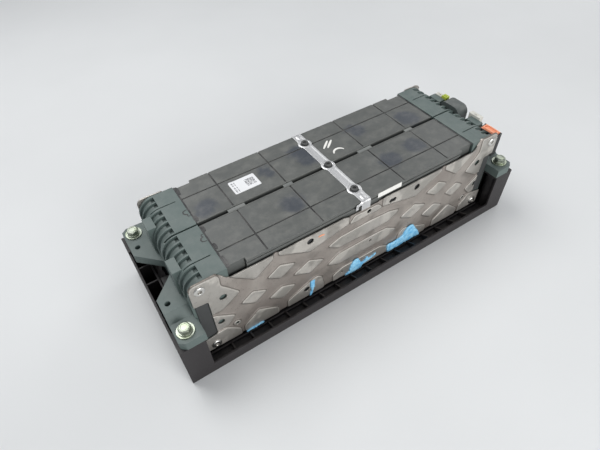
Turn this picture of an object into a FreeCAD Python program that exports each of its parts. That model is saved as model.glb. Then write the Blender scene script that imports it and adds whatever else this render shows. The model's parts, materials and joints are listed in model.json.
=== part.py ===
"""Module of twelve prismatic battery cells, bolted by four end flanges onto the posts of a
ribbed plastic tray.

Millimetres.  The origin is the middle of the tray's underside: +X runs along the cell stack,
+Y to the back and +Z up.  Each function makes one sub-part, and the table at the end writes
one STEP file per sub-part.
"""
import FreeCAD, Part
import math
import os

V = FreeCAD.Vector
TURN = 360.0

# ---- Driving dimensions: cells ----
cell_count = 12
cell_thickness = 26.5
cell_width = 140.0
cell_height = 98.0
cell_corner = 1.6
cell_lid = 1.2
cell_spacer = 2.0
end_insulator = 1.0
terminal_inset = 24.0
terminal_length = 15.0
terminal_width = 18.0
terminal_height = 4.2
terminal_seal = 0.9
seal_margin = 1.6
vent_length = 13.0
vent_width = 24.0
vent_height = 0.5

# ---- Driving dimensions: tray ----
tray_margin_x = 29.4
tray_margin_y = 20.1
tray_floor = 3.0
tray_wall = 2.4
low_wall_height = 16.2
end_wall_drop = 2.6
end_channel = 13.4
end_rib_drop = 4.5
end_rib_pitch = 27.5
end_rib_thickness = 1.8
inner_wall = 2.0
ledge_height = 7.4
ledge_gap = 1.4
side_rib_first = 28.0
side_rib_pitch = 24.6
side_rib_thickness = 1.8
side_rib_drop = 2.2
post_length = 29.0
post_width = 27.0
post_below_lid = 39.4
post_top = 5.0
post_web = 2.0
boss_radius = 9.0
bolt_edge_x = 15.4
bolt_edge_y = 13.6

# ---- Driving dimensions: end plates and their flanges ----
end_plate_depth = 44.6
end_plate_rise = 23.8
end_round = 19.6
pocket_width = 8.2
pocket_pitch = 10.5
pocket_depth = 2.6
pocket_floor = 4.4
outer_pocket_pitch = 9.66
core_top = 56.0
core_wall = 5.0
core_middle = 21.0
slit_width = 1.3
slit_depth = 4.0
split_groove = 2.4
groove_depth = 6.0
block_width = 19.5
block_proud = 2.6
block_length = 10.0
block_drop = 3.4
block_height = 34.4
pad_thickness = 11.8
pad_chamfer = 6.0
pad_reach = 14.4
pad_edge = 3.6
pad_root = 6.0
pad_relief = 4.0
step_rise = 10.2
step_run = 8.4
gusset_straight = 20.0
gusset_lap = 1.0
locating_hole_radius = 3.1
locating_hole_inset = 33.0
locating_hole_shift = 3.6

# ---- Driving dimensions: fasteners ----
bolt_radius = 4.0
bolt_hex = 12.0
bolt_head_height = 6.4
bolt_flange_radius = 7.6
bolt_flange_height = 1.4
bolt_length = 26.0
bolt_chamfer = 0.8
washer_radius = 9.6
washer_thickness = 1.6
bush_wall = 1.4
insert_wall = 2.0
insert_length = 18.0
side_screw_radius = 2.5
side_screw_length = 17.0
side_screw_head = 6.3
side_screw_head_height = 3.0
side_screw_socket = 2.4
side_screw_inset_x = 12.0
side_screw_inset_high = 11.2
side_screw_inset_low = 8.0

# ---- Driving dimensions: side plates ----
plate_thickness = 1.5
liner_thickness = 0.4
plate_end_inset = 1.6
plate_ear = 1.6
plate_corner = 7.0
plate_crown = 11.4
plate_shoulder = 8.2
plate_foot_rise = 0.6
plate_notch_depth = 14.0
plate_notch_below = 34.6
plate_notch_above = 10.1
plate_bead = 0.7
pad_middle_rise = 7.5
plate_hole_large = 4.3
plate_hole_small = 2.6

# ---- Driving dimensions: top of the module ----
base_sheet_top = 10.0
base_sheet = 0.8
rail_width = 12.0
rail_thickness = 1.2
rail_depth = 4.0
carrier_thickness = 1.6
busbar_thickness = 1.8
busbar_margin = 2.5
busbar_fold = 2.6
cover_rise = 22.8
cover_wall = 2.0
cover_inner = 2.6
cover_side_inset = 0.4
cover_rim_width = 1.9
cover_rim_height = 3.4
cover_ledge_drop = 6.6
cover_ledge_height = 2.8
cover_groove_width = 2.0
cover_groove_depth = 0.9
cover_groove_inset = 44.5
cover_end_step = 20.0
cover_end_inset = 2.4
duct_half_width = 11.0
duct_height = 13.5
duct_wall = 1.2
flex_width = 9.0
flex_thickness = 0.4
thermistor_size = 5.0
clip_long = 21.0
clip_short = 12.0
clip_shift = 1.6
strap_width = 12.2
strap_thickness = 1.5
strap_eye_pitch = 51.0
strap_eye_radius = 8.8
strap_hole_radius = 5.0
strap_drop = 14.0
stud_proud = 2.6
stud_clearance = 0.4
label_length = 33.6
label_width = 22.2
label_thickness = 0.25
label_inset_x = 10.5
label_inset_y = 15.0
tape_start = 18.0
tape_length = 35.0
tape_thickness = 0.4
tape_height = 6.7

# ---- Driving dimensions: terminals and connectors on the ends ----
housing_length = 13.4
housing_width = 26.4
housing_drop = 5.8
housing_lift = 2.4
housing_proud = 8.0
housing_wall = 1.5
cap_thickness = 1.6
cap_gap = 0.35
hinge_pin_radius = 0.8
hinge_barrel_radius = 1.7
hinge_running = 0.06
outlet_width = 34.0
outlet_middle = 5.0
outlet_proud = 9.0
outlet_rise = 2.8
outlet_below_bore = 18.0
outlet_round = 10.0
outlet_bore = 8.0
outlet_bore_rise = 4.0
connector_drop = 12.8
connector_gap = 1.0
signal_width = 8.0
thermistor_width = 11.0
negative_width = 26.0
negative_depth = 10.4
negative_top = 62.0
negative_bottom = 24.0
negative_bar_low = 52.0
bar_thickness = 1.8
tab_thickness = 3.0
tab_width = 16.0
terminal_pad_low = 4.0
terminal_pad_high = 1.5
terminal_thread = 2.5
filler_thickness = 2.6
filler_gap = 0.6                 # space left over the tray's foot
filler_beads = [(-167, -142, 4.6), (-77, -69, 29.6), (-17, 24, 22.6), (44, 104, 19.6)]

# ---- Clearances ----
slide_clearance = 0.3
bolt_clearance = 0.4

# ---- Sizes that follow from the driving dimensions: along X ----
cell_pitch = cell_thickness + cell_spacer
stack_half = (cell_count * cell_pitch - cell_spacer) / 2.0
end_inner = stack_half + end_insulator
end_outer = end_inner + end_plate_depth
tray_half_x = end_outer + tray_margin_x
bolt_offset_x = tray_half_x - bolt_edge_x
plate_reach = end_outer - plate_end_inset
side_screw_x = end_outer - side_screw_inset_x
cover_groove_near = 2.0 * cell_pitch
cover_groove_far = stack_half - cover_groove_inset
housing_outer = end_outer + housing_proud
housing_inner = housing_outer - housing_length
hinge_x = housing_outer - hinge_barrel_radius - 0.2

# ---- Across Y ----
terminal_offset = cell_width / 2.0 - terminal_inset
plate_in = cell_width / 2.0 + liner_thickness
plate_out = plate_in + plate_thickness
tray_half_y = plate_out + tray_margin_y
bolt_offset_y = tray_half_y - bolt_edge_y
cover_outer = cell_width / 2.0 - cover_side_inset
cover_rim = cover_outer + cover_rim_width
slit_offset = terminal_offset
block_outer = slit_offset - 2.0
block_inner = block_outer - block_width
housing_near = -plate_out
housing_far = housing_near + housing_width
housing_middle = (housing_near + housing_far) / 2.0
outlet_near = outlet_middle - outlet_width / 2.0
outlet_far = outlet_middle + outlet_width / 2.0

# ---- Up Z ----
module_bottom = base_sheet_top - base_sheet
cell_bottom = base_sheet_top
cell_top = cell_bottom + cell_height
terminal_top = cell_top + terminal_height
busbar_top = terminal_top + busbar_thickness
duct_top = cell_top + duct_height
cover_skirt = busbar_top + 1.0
cover_top = cell_top + cover_rise
end_plate_top = cell_top + end_plate_rise
post_height = cell_top - post_below_lid
end_wall_height = post_height - end_wall_drop
end_rib_height = end_wall_height - end_rib_drop
pad_top = post_height + pad_thickness
gusset_top = pad_top + step_rise
gusset_bottom = pad_top - gusset_lap
block_top = end_plate_top - block_drop
block_bottom = block_top - block_height
plate_top_end = end_plate_top + plate_ear
plate_top_middle = cell_top + plate_crown
plate_dip = cell_top + plate_shoulder
plate_foot = base_sheet_top + plate_foot_rise
pad_middle = (cell_bottom + cell_top) / 2.0 + pad_middle_rise
plate_notch_low = post_height - plate_notch_below
plate_notch_high = gusset_top + plate_notch_above
side_screw_high = plate_top_end - side_screw_inset_high
side_screw_low = plate_foot + side_screw_inset_low
housing_top = end_plate_top - housing_drop
housing_bottom = gusset_top + housing_lift
hinge_z = housing_top - 0.5
outlet_top = end_plate_top + outlet_rise
outlet_bore_height = cell_top + outlet_bore_rise
outlet_low = outlet_bore_height - outlet_below_bore
connector_low = end_plate_top - connector_drop

# ---- Bores and sleeves ----
bush_inner = bolt_radius + bolt_clearance
bush_outer = bush_inner + bush_wall
insert_outer = bolt_radius + insert_wall


# ---- Small geometry helpers ----
def block(x0, x1, y0, y1, z0, z1):
    """A box between two corners, given in any order."""
    low = V(min(x0, x1), min(y0, y1), min(z0, z1))
    return Part.makeBox(abs(x1 - x0), abs(y1 - y0), abs(z1 - z0), low)


def rod(radius, start, direction, length):
    """A round bar that starts at a point and runs along a direction."""
    return Part.makeCylinder(radius, length, V(*start), V(*direction))


def tube(outer, inner, start, direction, length):
    """A round tube."""
    return rod(outer, start, direction, length).cut(rod(inner, start, direction, length))


def prism(points, direction):
    """A closed outline of 3-D points pushed along a direction."""
    corners = [V(*point) for point in points]
    wire = Part.makePolygon(corners + [corners[0]])
    return Part.Face(wire).extrude(V(*direction))


def plan(points, z0, z1):
    """A prism that stands on an outline given in X and Y."""
    return prism([(x, y, z0) for x, y in points], (0, 0, z1 - z0))


def elevation(points, y0, y1):
    """A prism across Y on an outline given in X and Z."""
    return prism([(x, y0, z) for x, z in points], (0, y1 - y0, 0))


def hexagon(across_flats, x, y, z0, z1):
    """An upright hexagonal bar."""
    radius = across_flats / math.sqrt(3.0)
    angles = [math.radians(60.0 * step + 15.0) for step in range(6)]
    points = [(x + radius * math.cos(a), y + radius * math.sin(a)) for a in angles]
    return plan(points, z0, z1)


def join(shapes):
    """One solid from several that touch or overlap."""
    body = shapes[0]
    if len(shapes) > 1:
        body = body.fuse(shapes[1:])
    return body.removeSplitter()


def carve(body, tools):
    """A body with several tools cut out of it."""
    return body.cut(tools) if tools else body


def group(shapes):
    """Several separate solids that share one sub-part."""
    return Part.makeCompound(shapes)


def flip_x(shape):
    """The same shape at the other end of the stack."""
    return shape.mirror(V(0, 0, 0), V(1, 0, 0))


def flip_y(shape):
    """The same shape on the other long side."""
    return shape.mirror(V(0, 0, 0), V(0, 1, 0))


def four_corners(shape):
    """A shape made at +X -Y, with its copies at the other three corners."""
    near = [shape, flip_x(shape)]
    return near + [flip_y(item) for item in near]


def cell_x(index):
    """Middle of a cell, counted from the -X end."""
    return -stack_half + cell_thickness / 2.0 + index * cell_pitch


def upright_edges(shape, length):
    """Edges that run along Z and are as long as stated."""
    found = []
    for edge in shape.Edges:
        run = edge.Vertexes[-1].Point - edge.Vertexes[0].Point
        if abs(abs(run.z) - length) < 1e-6 and abs(run.x) + abs(run.y) < 1e-6:
            found.append(edge)
    return found


# ---- Tray ----
def tray_post():
    """Corner post at +X -Y: a walled corner with a top plate and a boss for the insert."""
    x_in = tray_half_x - post_length
    y_out = -tray_half_y
    top = block(x_in, tray_half_x, y_out, y_out + post_width, post_height - post_top, post_height)
    front = block(x_in, tray_half_x, y_out, y_out + tray_wall, 0, post_height)
    side = block(tray_half_x - tray_wall, tray_half_x, y_out, y_out + post_width, 0, post_height)
    boss = rod(boss_radius, (bolt_offset_x, -bolt_offset_y, 0), (0, 0, 1), post_height)
    half = post_web / 2.0
    web = block(bolt_offset_x, tray_half_x, -bolt_offset_y - half, -bolt_offset_y + half, 0, post_height)
    rear = block(bolt_offset_x - half, bolt_offset_x + half, y_out, -bolt_offset_y, 0, post_height)
    return [top, front, side, boss, web, rear]


def tray_end():
    """Double end wall at +X with its cross ribs."""
    reach = tray_half_y - post_width
    outer = block(tray_half_x - tray_wall, tray_half_x, -tray_half_y, tray_half_y, 0, end_wall_height)
    x_in = tray_half_x - tray_wall - end_channel
    inner = block(x_in - inner_wall, x_in, -reach, reach, 0, end_rib_height)
    half = end_rib_thickness / 2.0
    ribs = []
    for step in (-1.5, -0.5, 0.5, 1.5):
        y = step * end_rib_pitch
        ribs.append(block(x_in - 1, tray_half_x - 1, y - half, y + half, 0, end_rib_height))
    return [outer, inner] + ribs


def side_rib_places():
    """Places along X of the ribs in the two long channels."""
    reach = tray_half_x - post_length
    count = int((2.0 * reach - side_rib_first) / side_rib_pitch)
    return [side_rib_first - reach + step * side_rib_pitch for step in range(count)]


def tray_side():
    """Low front wall with its ledge and the ribs between them."""
    y_out = -tray_half_y
    y_ledge = -plate_out - ledge_gap
    wall = block(-tray_half_x, tray_half_x, y_out, y_out + tray_wall, 0, low_wall_height)
    reach = tray_half_x - post_length
    ledge = block(-reach, reach, y_ledge - inner_wall, y_ledge, 0, ledge_height)
    rib_top = low_wall_height - side_rib_drop
    ribs = []
    for x in side_rib_places():
        half = side_rib_thickness / 2.0
        outline = [(y_out + 1, 0), (y_out + 1, rib_top), (y_out + 5, rib_top),
                   (y_ledge - 1, ledge_height), (y_ledge - 1, 0)]
        points = [(x - half, y, z) for y, z in outline]
        ribs.append(prism(points, (side_rib_thickness, 0, 0)))
    return [wall, ledge] + ribs


def tray():
    """Tray moulding with four posts, ribbed long channels and double end walls."""
    floor = block(-tray_half_x, tray_half_x, -tray_half_y, tray_half_y, 0, tray_floor)
    ends = tray_end()
    ends = ends + [flip_x(item) for item in ends]
    sides = tray_side()
    sides = sides + [flip_y(item) for item in sides]
    posts = []
    for item in tray_post():
        posts = posts + four_corners(item)
    body = join([floor] + ends + sides + posts)
    pocket = rod(insert_outer, (bolt_offset_x, -bolt_offset_y, post_height - insert_length),
                 (0, 0, 1), insert_length + 1)
    return carve(body, four_corners(pocket))


def post_inserts():
    """Threaded metal inserts in the tops of the posts."""
    start = (bolt_offset_x, -bolt_offset_y, post_height - insert_length)
    return group(four_corners(tube(insert_outer, bolt_radius, start, (0, 0, 1), insert_length)))


# ---- End plates ----
def end_profile():
    """Side view of the right end plate: flat top with a quarter-round outer edge."""
    arc_x = end_outer - end_round
    arc_z = end_plate_top - end_round
    mid = math.sqrt(0.5) * end_round
    lines = [
        Part.LineSegment(V(end_inner, 0, module_bottom), V(end_inner, 0, end_plate_top)),
        Part.LineSegment(V(end_inner, 0, end_plate_top), V(arc_x, 0, end_plate_top)),
        Part.Arc(V(arc_x, 0, end_plate_top), V(arc_x + mid, 0, arc_z + mid), V(end_outer, 0, arc_z)),
        Part.LineSegment(V(end_outer, 0, arc_z), V(end_outer, 0, module_bottom)),
        Part.LineSegment(V(end_outer, 0, module_bottom), V(end_inner, 0, module_bottom)),
    ]
    return Part.Wire([line.toShape() for line in lines])


def end_body():
    """Solid body of the right end plate between the side plates."""
    face = Part.Face(end_profile())
    face.translate(V(0, -plate_in, 0))
    return face.extrude(V(0, 2.0 * plate_in, 0))


def rounded_pocket(y):
    """Curved pocket in the outer rounded edge, deeper at its inner end."""
    arc_x = end_outer - end_round
    arc_z = end_plate_top - end_round
    start = (arc_x, y - pocket_width / 2.0, arc_z)
    ring = tube(end_round + 2.0, end_round - pocket_depth, start, (0, 1, 0), pocket_width)
    corner = block(arc_x, end_outer + 2, y - pocket_width, y + pocket_width, arc_z - 6, end_plate_top + 2)
    deep = block(arc_x - 0.5, arc_x + 3.2, y - pocket_width / 2.0, y + pocket_width / 2.0,
                 end_plate_top - pocket_floor, end_plate_top + 1)
    lower = block(end_outer - pocket_depth, end_outer + 1, y - pocket_width / 2.0, y + pocket_width / 2.0,
                  arc_z - 8.0, arc_z + 0.5)
    return [ring.common(corner), deep, lower]


def pocket_places():
    """Pocket centres on one half, as many as fit on each side of the slit."""
    inner_count = int((slit_offset - split_groove) / pocket_pitch)
    outer_count = int((plate_in - slit_offset) / outer_pocket_pitch)
    inner = [pocket_pitch * (0.65 + step) for step in range(inner_count)]
    outer = [slit_offset + outer_pocket_pitch * (0.76 + step) for step in range(outer_count)]
    return inner + outer


def end_cuts():
    """Pockets, slits, centre groove and hollow cores of an end plate."""
    cuts = []
    for place in pocket_places():
        for y in (-place, place):
            cuts = cuts + rounded_pocket(y)
    for y in (-slit_offset, slit_offset):
        cuts.append(block(end_inner + 6, end_outer - end_round + 12, y - slit_width / 2.0,
                          y + slit_width / 2.0, end_plate_top - slit_depth, end_plate_top + 1))
    cuts.append(block(end_inner - 1, end_outer + 1, -split_groove / 2.0, split_groove / 2.0,
                      end_plate_top - groove_depth, end_plate_top + 1))
    near = core_middle + core_wall
    far = plate_in - core_wall
    for low, high in ((-far, -near), (-core_middle, core_middle), (near, far)):
        cuts.append(block(end_inner + core_wall, end_outer - core_wall, low, high, module_bottom - 1, core_top))
    return cuts


def end_blocks():
    """Two smooth blocks that stand proud of the outer face under the rounded edge."""
    blocks = []
    for side in (-1, 1):
        blocks.append(block(end_outer + block_proud - block_length, end_outer + block_proud,
                            side * block_inner, side * block_outer, block_bottom, block_top))
    return blocks


def flange():
    """Mounting flange at +X -Y: bolt pad, sloping step, and gusset back to the end face."""
    x_out = tray_half_x - pad_edge
    x_in = end_outer - pad_root
    x_relief = x_in + pad_relief
    y_out = -tray_half_y
    y_step = -bolt_offset_y + pad_reach
    y_high = y_step + step_run
    pad = plan([(x_in, -plate_in), (x_relief, -plate_in), (x_relief, y_out), (x_out - pad_chamfer, y_out),
                (x_out, y_out + pad_chamfer * 0.8), (x_out, y_step + 1), (x_in, y_step + 1)],
               post_height, pad_top)
    ramp = prism([(x_in, y_step, post_height + 3), (x_in, y_step, pad_top), (x_in, y_high, gusset_top),
                  (x_in, y_high + 2, gusset_top), (x_in, y_high + 2, gusset_bottom),
                  (x_in, y_high - 2, post_height + 3)], (x_out - x_in, 0, 0))
    y_bend = y_high + gusset_straight
    y_end = y_bend + (x_out - end_outer)
    gusset = plan([(x_in, y_high), (x_out, y_high), (x_out, y_bend), (end_outer, y_end), (x_in, y_end)],
                  gusset_bottom, gusset_top)
    return [pad, ramp, gusset]


def locating_hole_y():
    """Distance of the gusset holes from the middle."""
    return bolt_offset_y - locating_hole_inset


def flange_cuts():
    """Bush bore and locating hole of the flange at +X -Y."""
    bore = rod(bush_outer, (bolt_offset_x, -bolt_offset_y, post_height - 1), (0, 0, 1), pad_thickness + 2)
    start = (bolt_offset_x + locating_hole_shift, -locating_hole_y(), gusset_bottom - 4)
    hole = rod(locating_hole_radius, start, (0, 0, 1), step_rise + 8)
    return [bore, hole]


def side_screw_holes():
    """Pilot holes for the side plate screws in the end plate at +X."""
    holes = []
    for z in (side_screw_low, side_screw_high):
        for side in (-1, 1):
            start = (side_screw_x, side * plate_out, z)
            holes.append(rod(side_screw_radius, start, (0, -side, 0), side_screw_length + 0.5))
    return holes


def end_plate():
    """End plate at +X with two flanges, before its own fittings are cut."""
    body = join([end_body().cut(end_cuts())] + end_blocks() + flange() + [flip_y(s) for s in flange()])
    cuts = flange_cuts()
    cuts = cuts + [flip_y(item) for item in cuts] + side_screw_holes()
    return carve(body, cuts)


def tab_slot():
    """Space for the terminal bar behind the housing on the end plate at +X."""
    half = tab_width / 2.0 + slide_clearance
    z_low = busbar_top - tab_thickness - slide_clearance
    return block(end_inner - 1, end_outer + 1, housing_middle - half, housing_middle + half,
                 z_low, busbar_top + slide_clearance)


def negative_bar_shapes(gap):
    """Three runs of the negative bar inside the end plate, made at +X and grown by a gap."""
    half = tab_width / 2.0 + gap
    x_in = end_inner + 1.0 - gap
    x_out = x_in + bar_thickness + 2.0 * gap
    across = block(x_in, x_out, -terminal_offset - half, half, terminal_top - tab_width - gap, busbar_top + gap)
    down = block(x_in, x_out, -half, half, negative_bar_low - gap, busbar_top + gap)
    tab = block(x_in, end_outer + negative_depth * 0.6, -half, half, negative_bar_low - gap,
                negative_bar_low + tab_thickness + gap)
    return [across, down, tab]


def negative_slot():
    """Space for the negative bar, open to the stack so that the bar drops in."""
    runs = negative_bar_shapes(slide_clearance)
    mouth = block(end_inner - 1, end_inner + 1, -terminal_offset - tab_width, tab_width,
                  negative_bar_low - 1, busbar_top + 4)
    return runs + [mouth]


def end_plate_right():
    """End plate with the seats of the terminal housing and the gas outlet."""
    seat = block(housing_inner - slide_clearance, housing_outer + 2, housing_near - 1,
                 housing_far + slide_clearance, housing_bottom, end_plate_top + 1)
    mouth = block(end_outer - outlet_proud, end_outer + 5, outlet_near - slide_clearance,
                  outlet_far + slide_clearance, outlet_low, end_plate_top + 1)
    throat = rod(outlet_bore, (end_inner - 1, 0, outlet_bore_height), (1, 0, 0), end_plate_depth)
    return carve(end_plate(), [seat, mouth, throat, tab_slot()])


def end_plate_left():
    """End plate with the slot of the negative bar."""
    return flip_x(carve(end_plate(), negative_slot()))


# ---- Fasteners ----
def mount_bolt():
    """M8 hexagon bolt with a pressed flange, at +X -Y."""
    seat = pad_top + washer_thickness
    shank = rod(bolt_radius, (bolt_offset_x, -bolt_offset_y, seat - bolt_length), (0, 0, 1), bolt_length)
    rim = rod(bolt_flange_radius, (bolt_offset_x, -bolt_offset_y, seat), (0, 0, 1), bolt_flange_height)
    top = seat + bolt_head_height
    head = hexagon(bolt_hex, bolt_offset_x, -bolt_offset_y, seat + bolt_flange_height, top)
    corner = bolt_hex / math.sqrt(3.0)
    drum = rod(corner, (bolt_offset_x, -bolt_offset_y, seat), (0, 0, 1), bolt_head_height - bolt_chamfer)
    cone = Part.makeCone(corner, corner - 2.0 * bolt_chamfer, bolt_chamfer,
                         V(bolt_offset_x, -bolt_offset_y, top - bolt_chamfer))
    return join([shank, rim, head.common(drum.fuse(cone))])


def mount_bolts():
    """Four bolts that hold the flanges on the posts."""
    return group(four_corners(mount_bolt()))


def mount_washers():
    """Plain washers under the bolt heads."""
    start = (bolt_offset_x, -bolt_offset_y, pad_top)
    return group(four_corners(tube(washer_radius, bush_inner, start, (0, 0, 1), washer_thickness)))


def flange_bushes():
    """Metal sleeves that take the bolt load through the plastic pads."""
    start = (bolt_offset_x, -bolt_offset_y, post_height)
    return group(four_corners(tube(bush_outer, bush_inner, start, (0, 0, 1), pad_thickness)))


def side_screw(x, z):
    """Domed screw with a socket, on the front side."""
    head = rod(side_screw_head, (x, -plate_out, z), (0, -1, 0), side_screw_head_height)
    rim = [edge for edge in head.Edges if abs(edge.Vertexes[0].Y + plate_out + side_screw_head_height) < 1e-6]
    rims = [edge for edge in rim if edge.Closed]
    head = head.makeFillet(side_screw_head_height * 0.6, rims[:1])
    shank = rod(side_screw_radius, (x, -plate_out, z), (0, 1, 0), side_screw_length)
    socket = rod(side_screw_socket, (x, -plate_out - side_screw_head_height - 0.1, z), (0, 1, 0), 2.0)
    return head.fuse(shank).cut(socket)


def side_screws_front():
    """Four screws that hold the front side plate on the end plates."""
    screws = []
    for x in (-side_screw_x, side_screw_x):
        for z in (side_screw_low, side_screw_high):
            screws.append(side_screw(x, z))
    return group(screws)


def side_screws_back():
    """Four screws of the back side plate."""
    return flip_y(side_screws_front())


# ---- Side plates ----
def plate_outline():
    """Right half of the side plate's outline, from the middle of its top to the middle of its foot."""
    x_end = plate_reach
    x_notch = x_end - plate_notch_depth
    points = [(0, plate_top_middle), (stack_half - 43, plate_top_middle), (stack_half - 36, plate_dip),
              (stack_half - 15, plate_dip), (stack_half - 9, plate_top_end - 4), (x_end - 21, plate_top_end)]
    for step in range(7):
        angle = math.radians(90.0 - 15.0 * step)
        points.append((x_end - plate_corner + plate_corner * math.cos(angle),
                       plate_top_end - plate_corner + plate_corner * math.sin(angle)))
    points = points + [(x_end, plate_notch_high), (x_notch, plate_notch_high), (x_notch, plate_notch_low + 15),
                       (x_end - 8, plate_notch_low + 2), (x_end, plate_notch_low), (x_end, side_screw_low),
                       (x_end - 8, plate_foot), (end_inner + 6, plate_foot), (end_inner + 1, plate_foot + 6.2),
                       (stack_half - 108, plate_foot + 6.2), (stack_half - 110, plate_foot + 3)]
    return points + [(0, plate_foot + 3)]


def plate_holes():
    """Round holes of the right half, as places and radii."""
    return [(end_outer - 30.6, cell_top - 12.8, plate_hole_large),
            (end_outer - 21.0, plate_notch_low + 20.6, plate_hole_large - 0.3),
            (end_outer - 35.3, plate_notch_low + 2.4, plate_hole_small),
            (stack_half - 93.0, cell_top + 2.0, plate_hole_large),
            (stack_half - 86.2, plate_foot + 15.1, plate_hole_large - 0.3)]


def plate_pads():
    """Raised diamonds of the right half, as middles and half sizes along X and Z."""
    return [(stack_half - 90.5, pad_middle, 21.5, 12.0), (stack_half - 18.0, pad_middle, 17.0, 11.5),
            (stack_half - 53.7, pad_middle + 19.5, 21.0, 11.5), (stack_half - 53.7, pad_middle - 20.0, 18.0, 12.0)]


def diamond(x, z, half_x, half_z):
    """One raised diamond on the outer face of the front plate."""
    points = [(x - half_x, z), (x, z + half_z), (x + half_x, z), (x, z - half_z)]
    return elevation(points, -plate_out - plate_bead, -plate_out)


def side_plate_front():
    """Pressed steel side plate with its raised diamonds, notches and holes."""
    right = plate_outline()
    left = [(-x, z) for x, z in reversed(right[1:-1])]
    sheet = elevation(right + left, -plate_out, -plate_in)
    pads = [diamond(0, pad_middle + side * 15.5, stack_half * 0.33, 9.5) for side in (-1, 1)]
    for place in plate_pads():
        pad = diamond(*place)
        pads = pads + [pad, flip_x(pad)]
    tools = []
    screws = [(side_screw_x, z, side_screw_radius) for z in (side_screw_low, side_screw_high)]
    for x, z, radius in plate_holes() + screws:
        for place in (x, -x):
            tools.append(rod(radius, (place, -plate_out - 3, z), (0, 1, 0), 8))
    return carve(join([sheet] + pads), tools)


def side_plate_back():
    """The same plate on the back."""
    return flip_y(side_plate_front())


def plate_liner_front():
    """Insulating sheet between the cells and the front plate."""
    return block(-stack_half, stack_half, -plate_in, -cell_width / 2.0, cell_bottom, plate_dip - 2)


def plate_liner_back():
    """Insulating sheet behind the cells."""
    return flip_y(plate_liner_front())


def bottom_rail_front():
    """Plastic angle under the front edge of the stack."""
    reach = end_inner - slide_clearance
    y_inner = -cell_width / 2.0 + rail_width
    foot = block(-reach, reach, -plate_in, y_inner, module_bottom - rail_thickness, module_bottom)
    lip = block(-reach, reach, y_inner - rail_thickness, y_inner, module_bottom - rail_depth, module_bottom)
    return join([foot, lip])


def bottom_rail_back():
    """The same rail at the back."""
    return flip_y(bottom_rail_front())


# ---- Cells and the parts between them ----
def cell(index):
    """Welded can of one cell with its lid, seen as a closed box with rounded upright edges."""
    x = cell_x(index)
    can = block(x - cell_thickness / 2.0, x + cell_thickness / 2.0, -cell_width / 2.0, cell_width / 2.0,
                cell_bottom, cell_top)
    can = can.makeFillet(cell_corner, upright_edges(can, cell_height))
    recess = block(x - vent_length / 2.0, x + vent_length / 2.0, -vent_width / 2.0, vent_width / 2.0,
                   cell_top - vent_height, cell_top + 1)
    return can.cut(recess)


def terminal(index, side, height, low, margin):
    """Rectangular post over one cell; side is -1 for the front and 1 for the back."""
    x = cell_x(index)
    y = side * terminal_offset
    half_x = terminal_length / 2.0 + margin
    half_y = terminal_width / 2.0 + margin
    return block(x - half_x, x + half_x, y - half_y, y + half_y, low, low + height)


def positive_side(index):
    """Front or back: the side of a cell's positive terminal alternates along the stack."""
    return 1 if index % 2 == 0 else -1


def terminals(polarity):
    """Terminal posts of one polarity on every cell."""
    low = cell_top + terminal_seal
    height = terminal_height - terminal_seal
    posts = []
    for index in range(cell_count):
        posts.append(terminal(index, polarity * positive_side(index), height, low, 0.0))
    return group(posts)


def terminals_positive():
    """Aluminium posts."""
    return terminals(1)


def terminals_negative():
    """Copper posts."""
    return terminals(-1)


def terminal_seals():
    """Insulating frames under the posts."""
    seals = []
    for index in range(cell_count):
        for side in (-1, 1):
            seals.append(terminal(index, side, terminal_seal, cell_top, seal_margin))
    return group(seals)


def cell_vents():
    """Thin burst discs in the lids."""
    discs = []
    for index in range(cell_count):
        x = cell_x(index)
        disc = block(x - vent_length / 2.0, x + vent_length / 2.0, -vent_width / 2.0, vent_width / 2.0,
                     cell_top - vent_height, cell_top)
        discs.append(disc.makeFillet(vent_length * 0.45, upright_edges(disc, vent_height)))
    return group(discs)


def cell_spacers():
    """Insulating spacers between neighbouring cells."""
    sheets = []
    for index in range(cell_count - 1):
        x = cell_x(index) + cell_thickness / 2.0
        sheets.append(block(x, x + cell_spacer, -cell_width / 2.0 + 1, cell_width / 2.0 - 1,
                            cell_bottom, cell_top - 1))
    return group(sheets)


def end_insulators():
    """Sheets between the outer cells and the end plates."""
    sheet = block(stack_half, end_inner, -cell_width / 2.0, cell_width / 2.0, cell_bottom, cell_top)
    return group([sheet, flip_x(sheet)])


def base_sheet_part():
    """Insulating sheet under the cells."""
    half = cell_width / 2.0
    return block(-stack_half, stack_half, -half, half, module_bottom, base_sheet_top)


# ---- Current path and sensing ----
def busbar_carrier_front():
    """Plastic frame on the lids that places the bus bars on the front side."""
    y_low = -cover_outer + cover_wall + slide_clearance
    y_high = -duct_half_width - slide_clearance
    body = block(-stack_half, stack_half, y_low, y_high, cell_top, cell_top + carrier_thickness)
    cuts = [terminal(index, -1, carrier_thickness + 2, cell_top - 1, seal_margin + slide_clearance)
            for index in range(cell_count)]
    return carve(body, cuts)


def busbar_carrier_back():
    """The same frame on the back side."""
    return flip_y(busbar_carrier_front())


def busbar(first, last, side):
    """Flat bar over the terminals of two neighbouring cells, with a raised middle fold."""
    y = side * terminal_offset
    half = terminal_width / 2.0 - 0.5
    x0 = cell_x(first) - terminal_length / 2.0 + busbar_margin / 2.0
    x1 = cell_x(last) + terminal_length / 2.0 - busbar_margin / 2.0
    flat = block(x0, x1, y - half, y + half, terminal_top, busbar_top)
    if first == last:
        return flat
    middle = (x0 + x1) / 2.0
    fold = rod(busbar_fold, (middle, y - half, terminal_top), (0, 1, 0), 2.0 * half)
    hollow = rod(busbar_fold - busbar_thickness + 0.4, (middle, y - half - 1, terminal_top), (0, 1, 0),
                 2.0 * half + 2)
    above = block(x0, x1, y - half, y + half, terminal_top, busbar_top + busbar_fold)
    return flat.fuse(fold).cut(hollow).common(above).removeSplitter()


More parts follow.
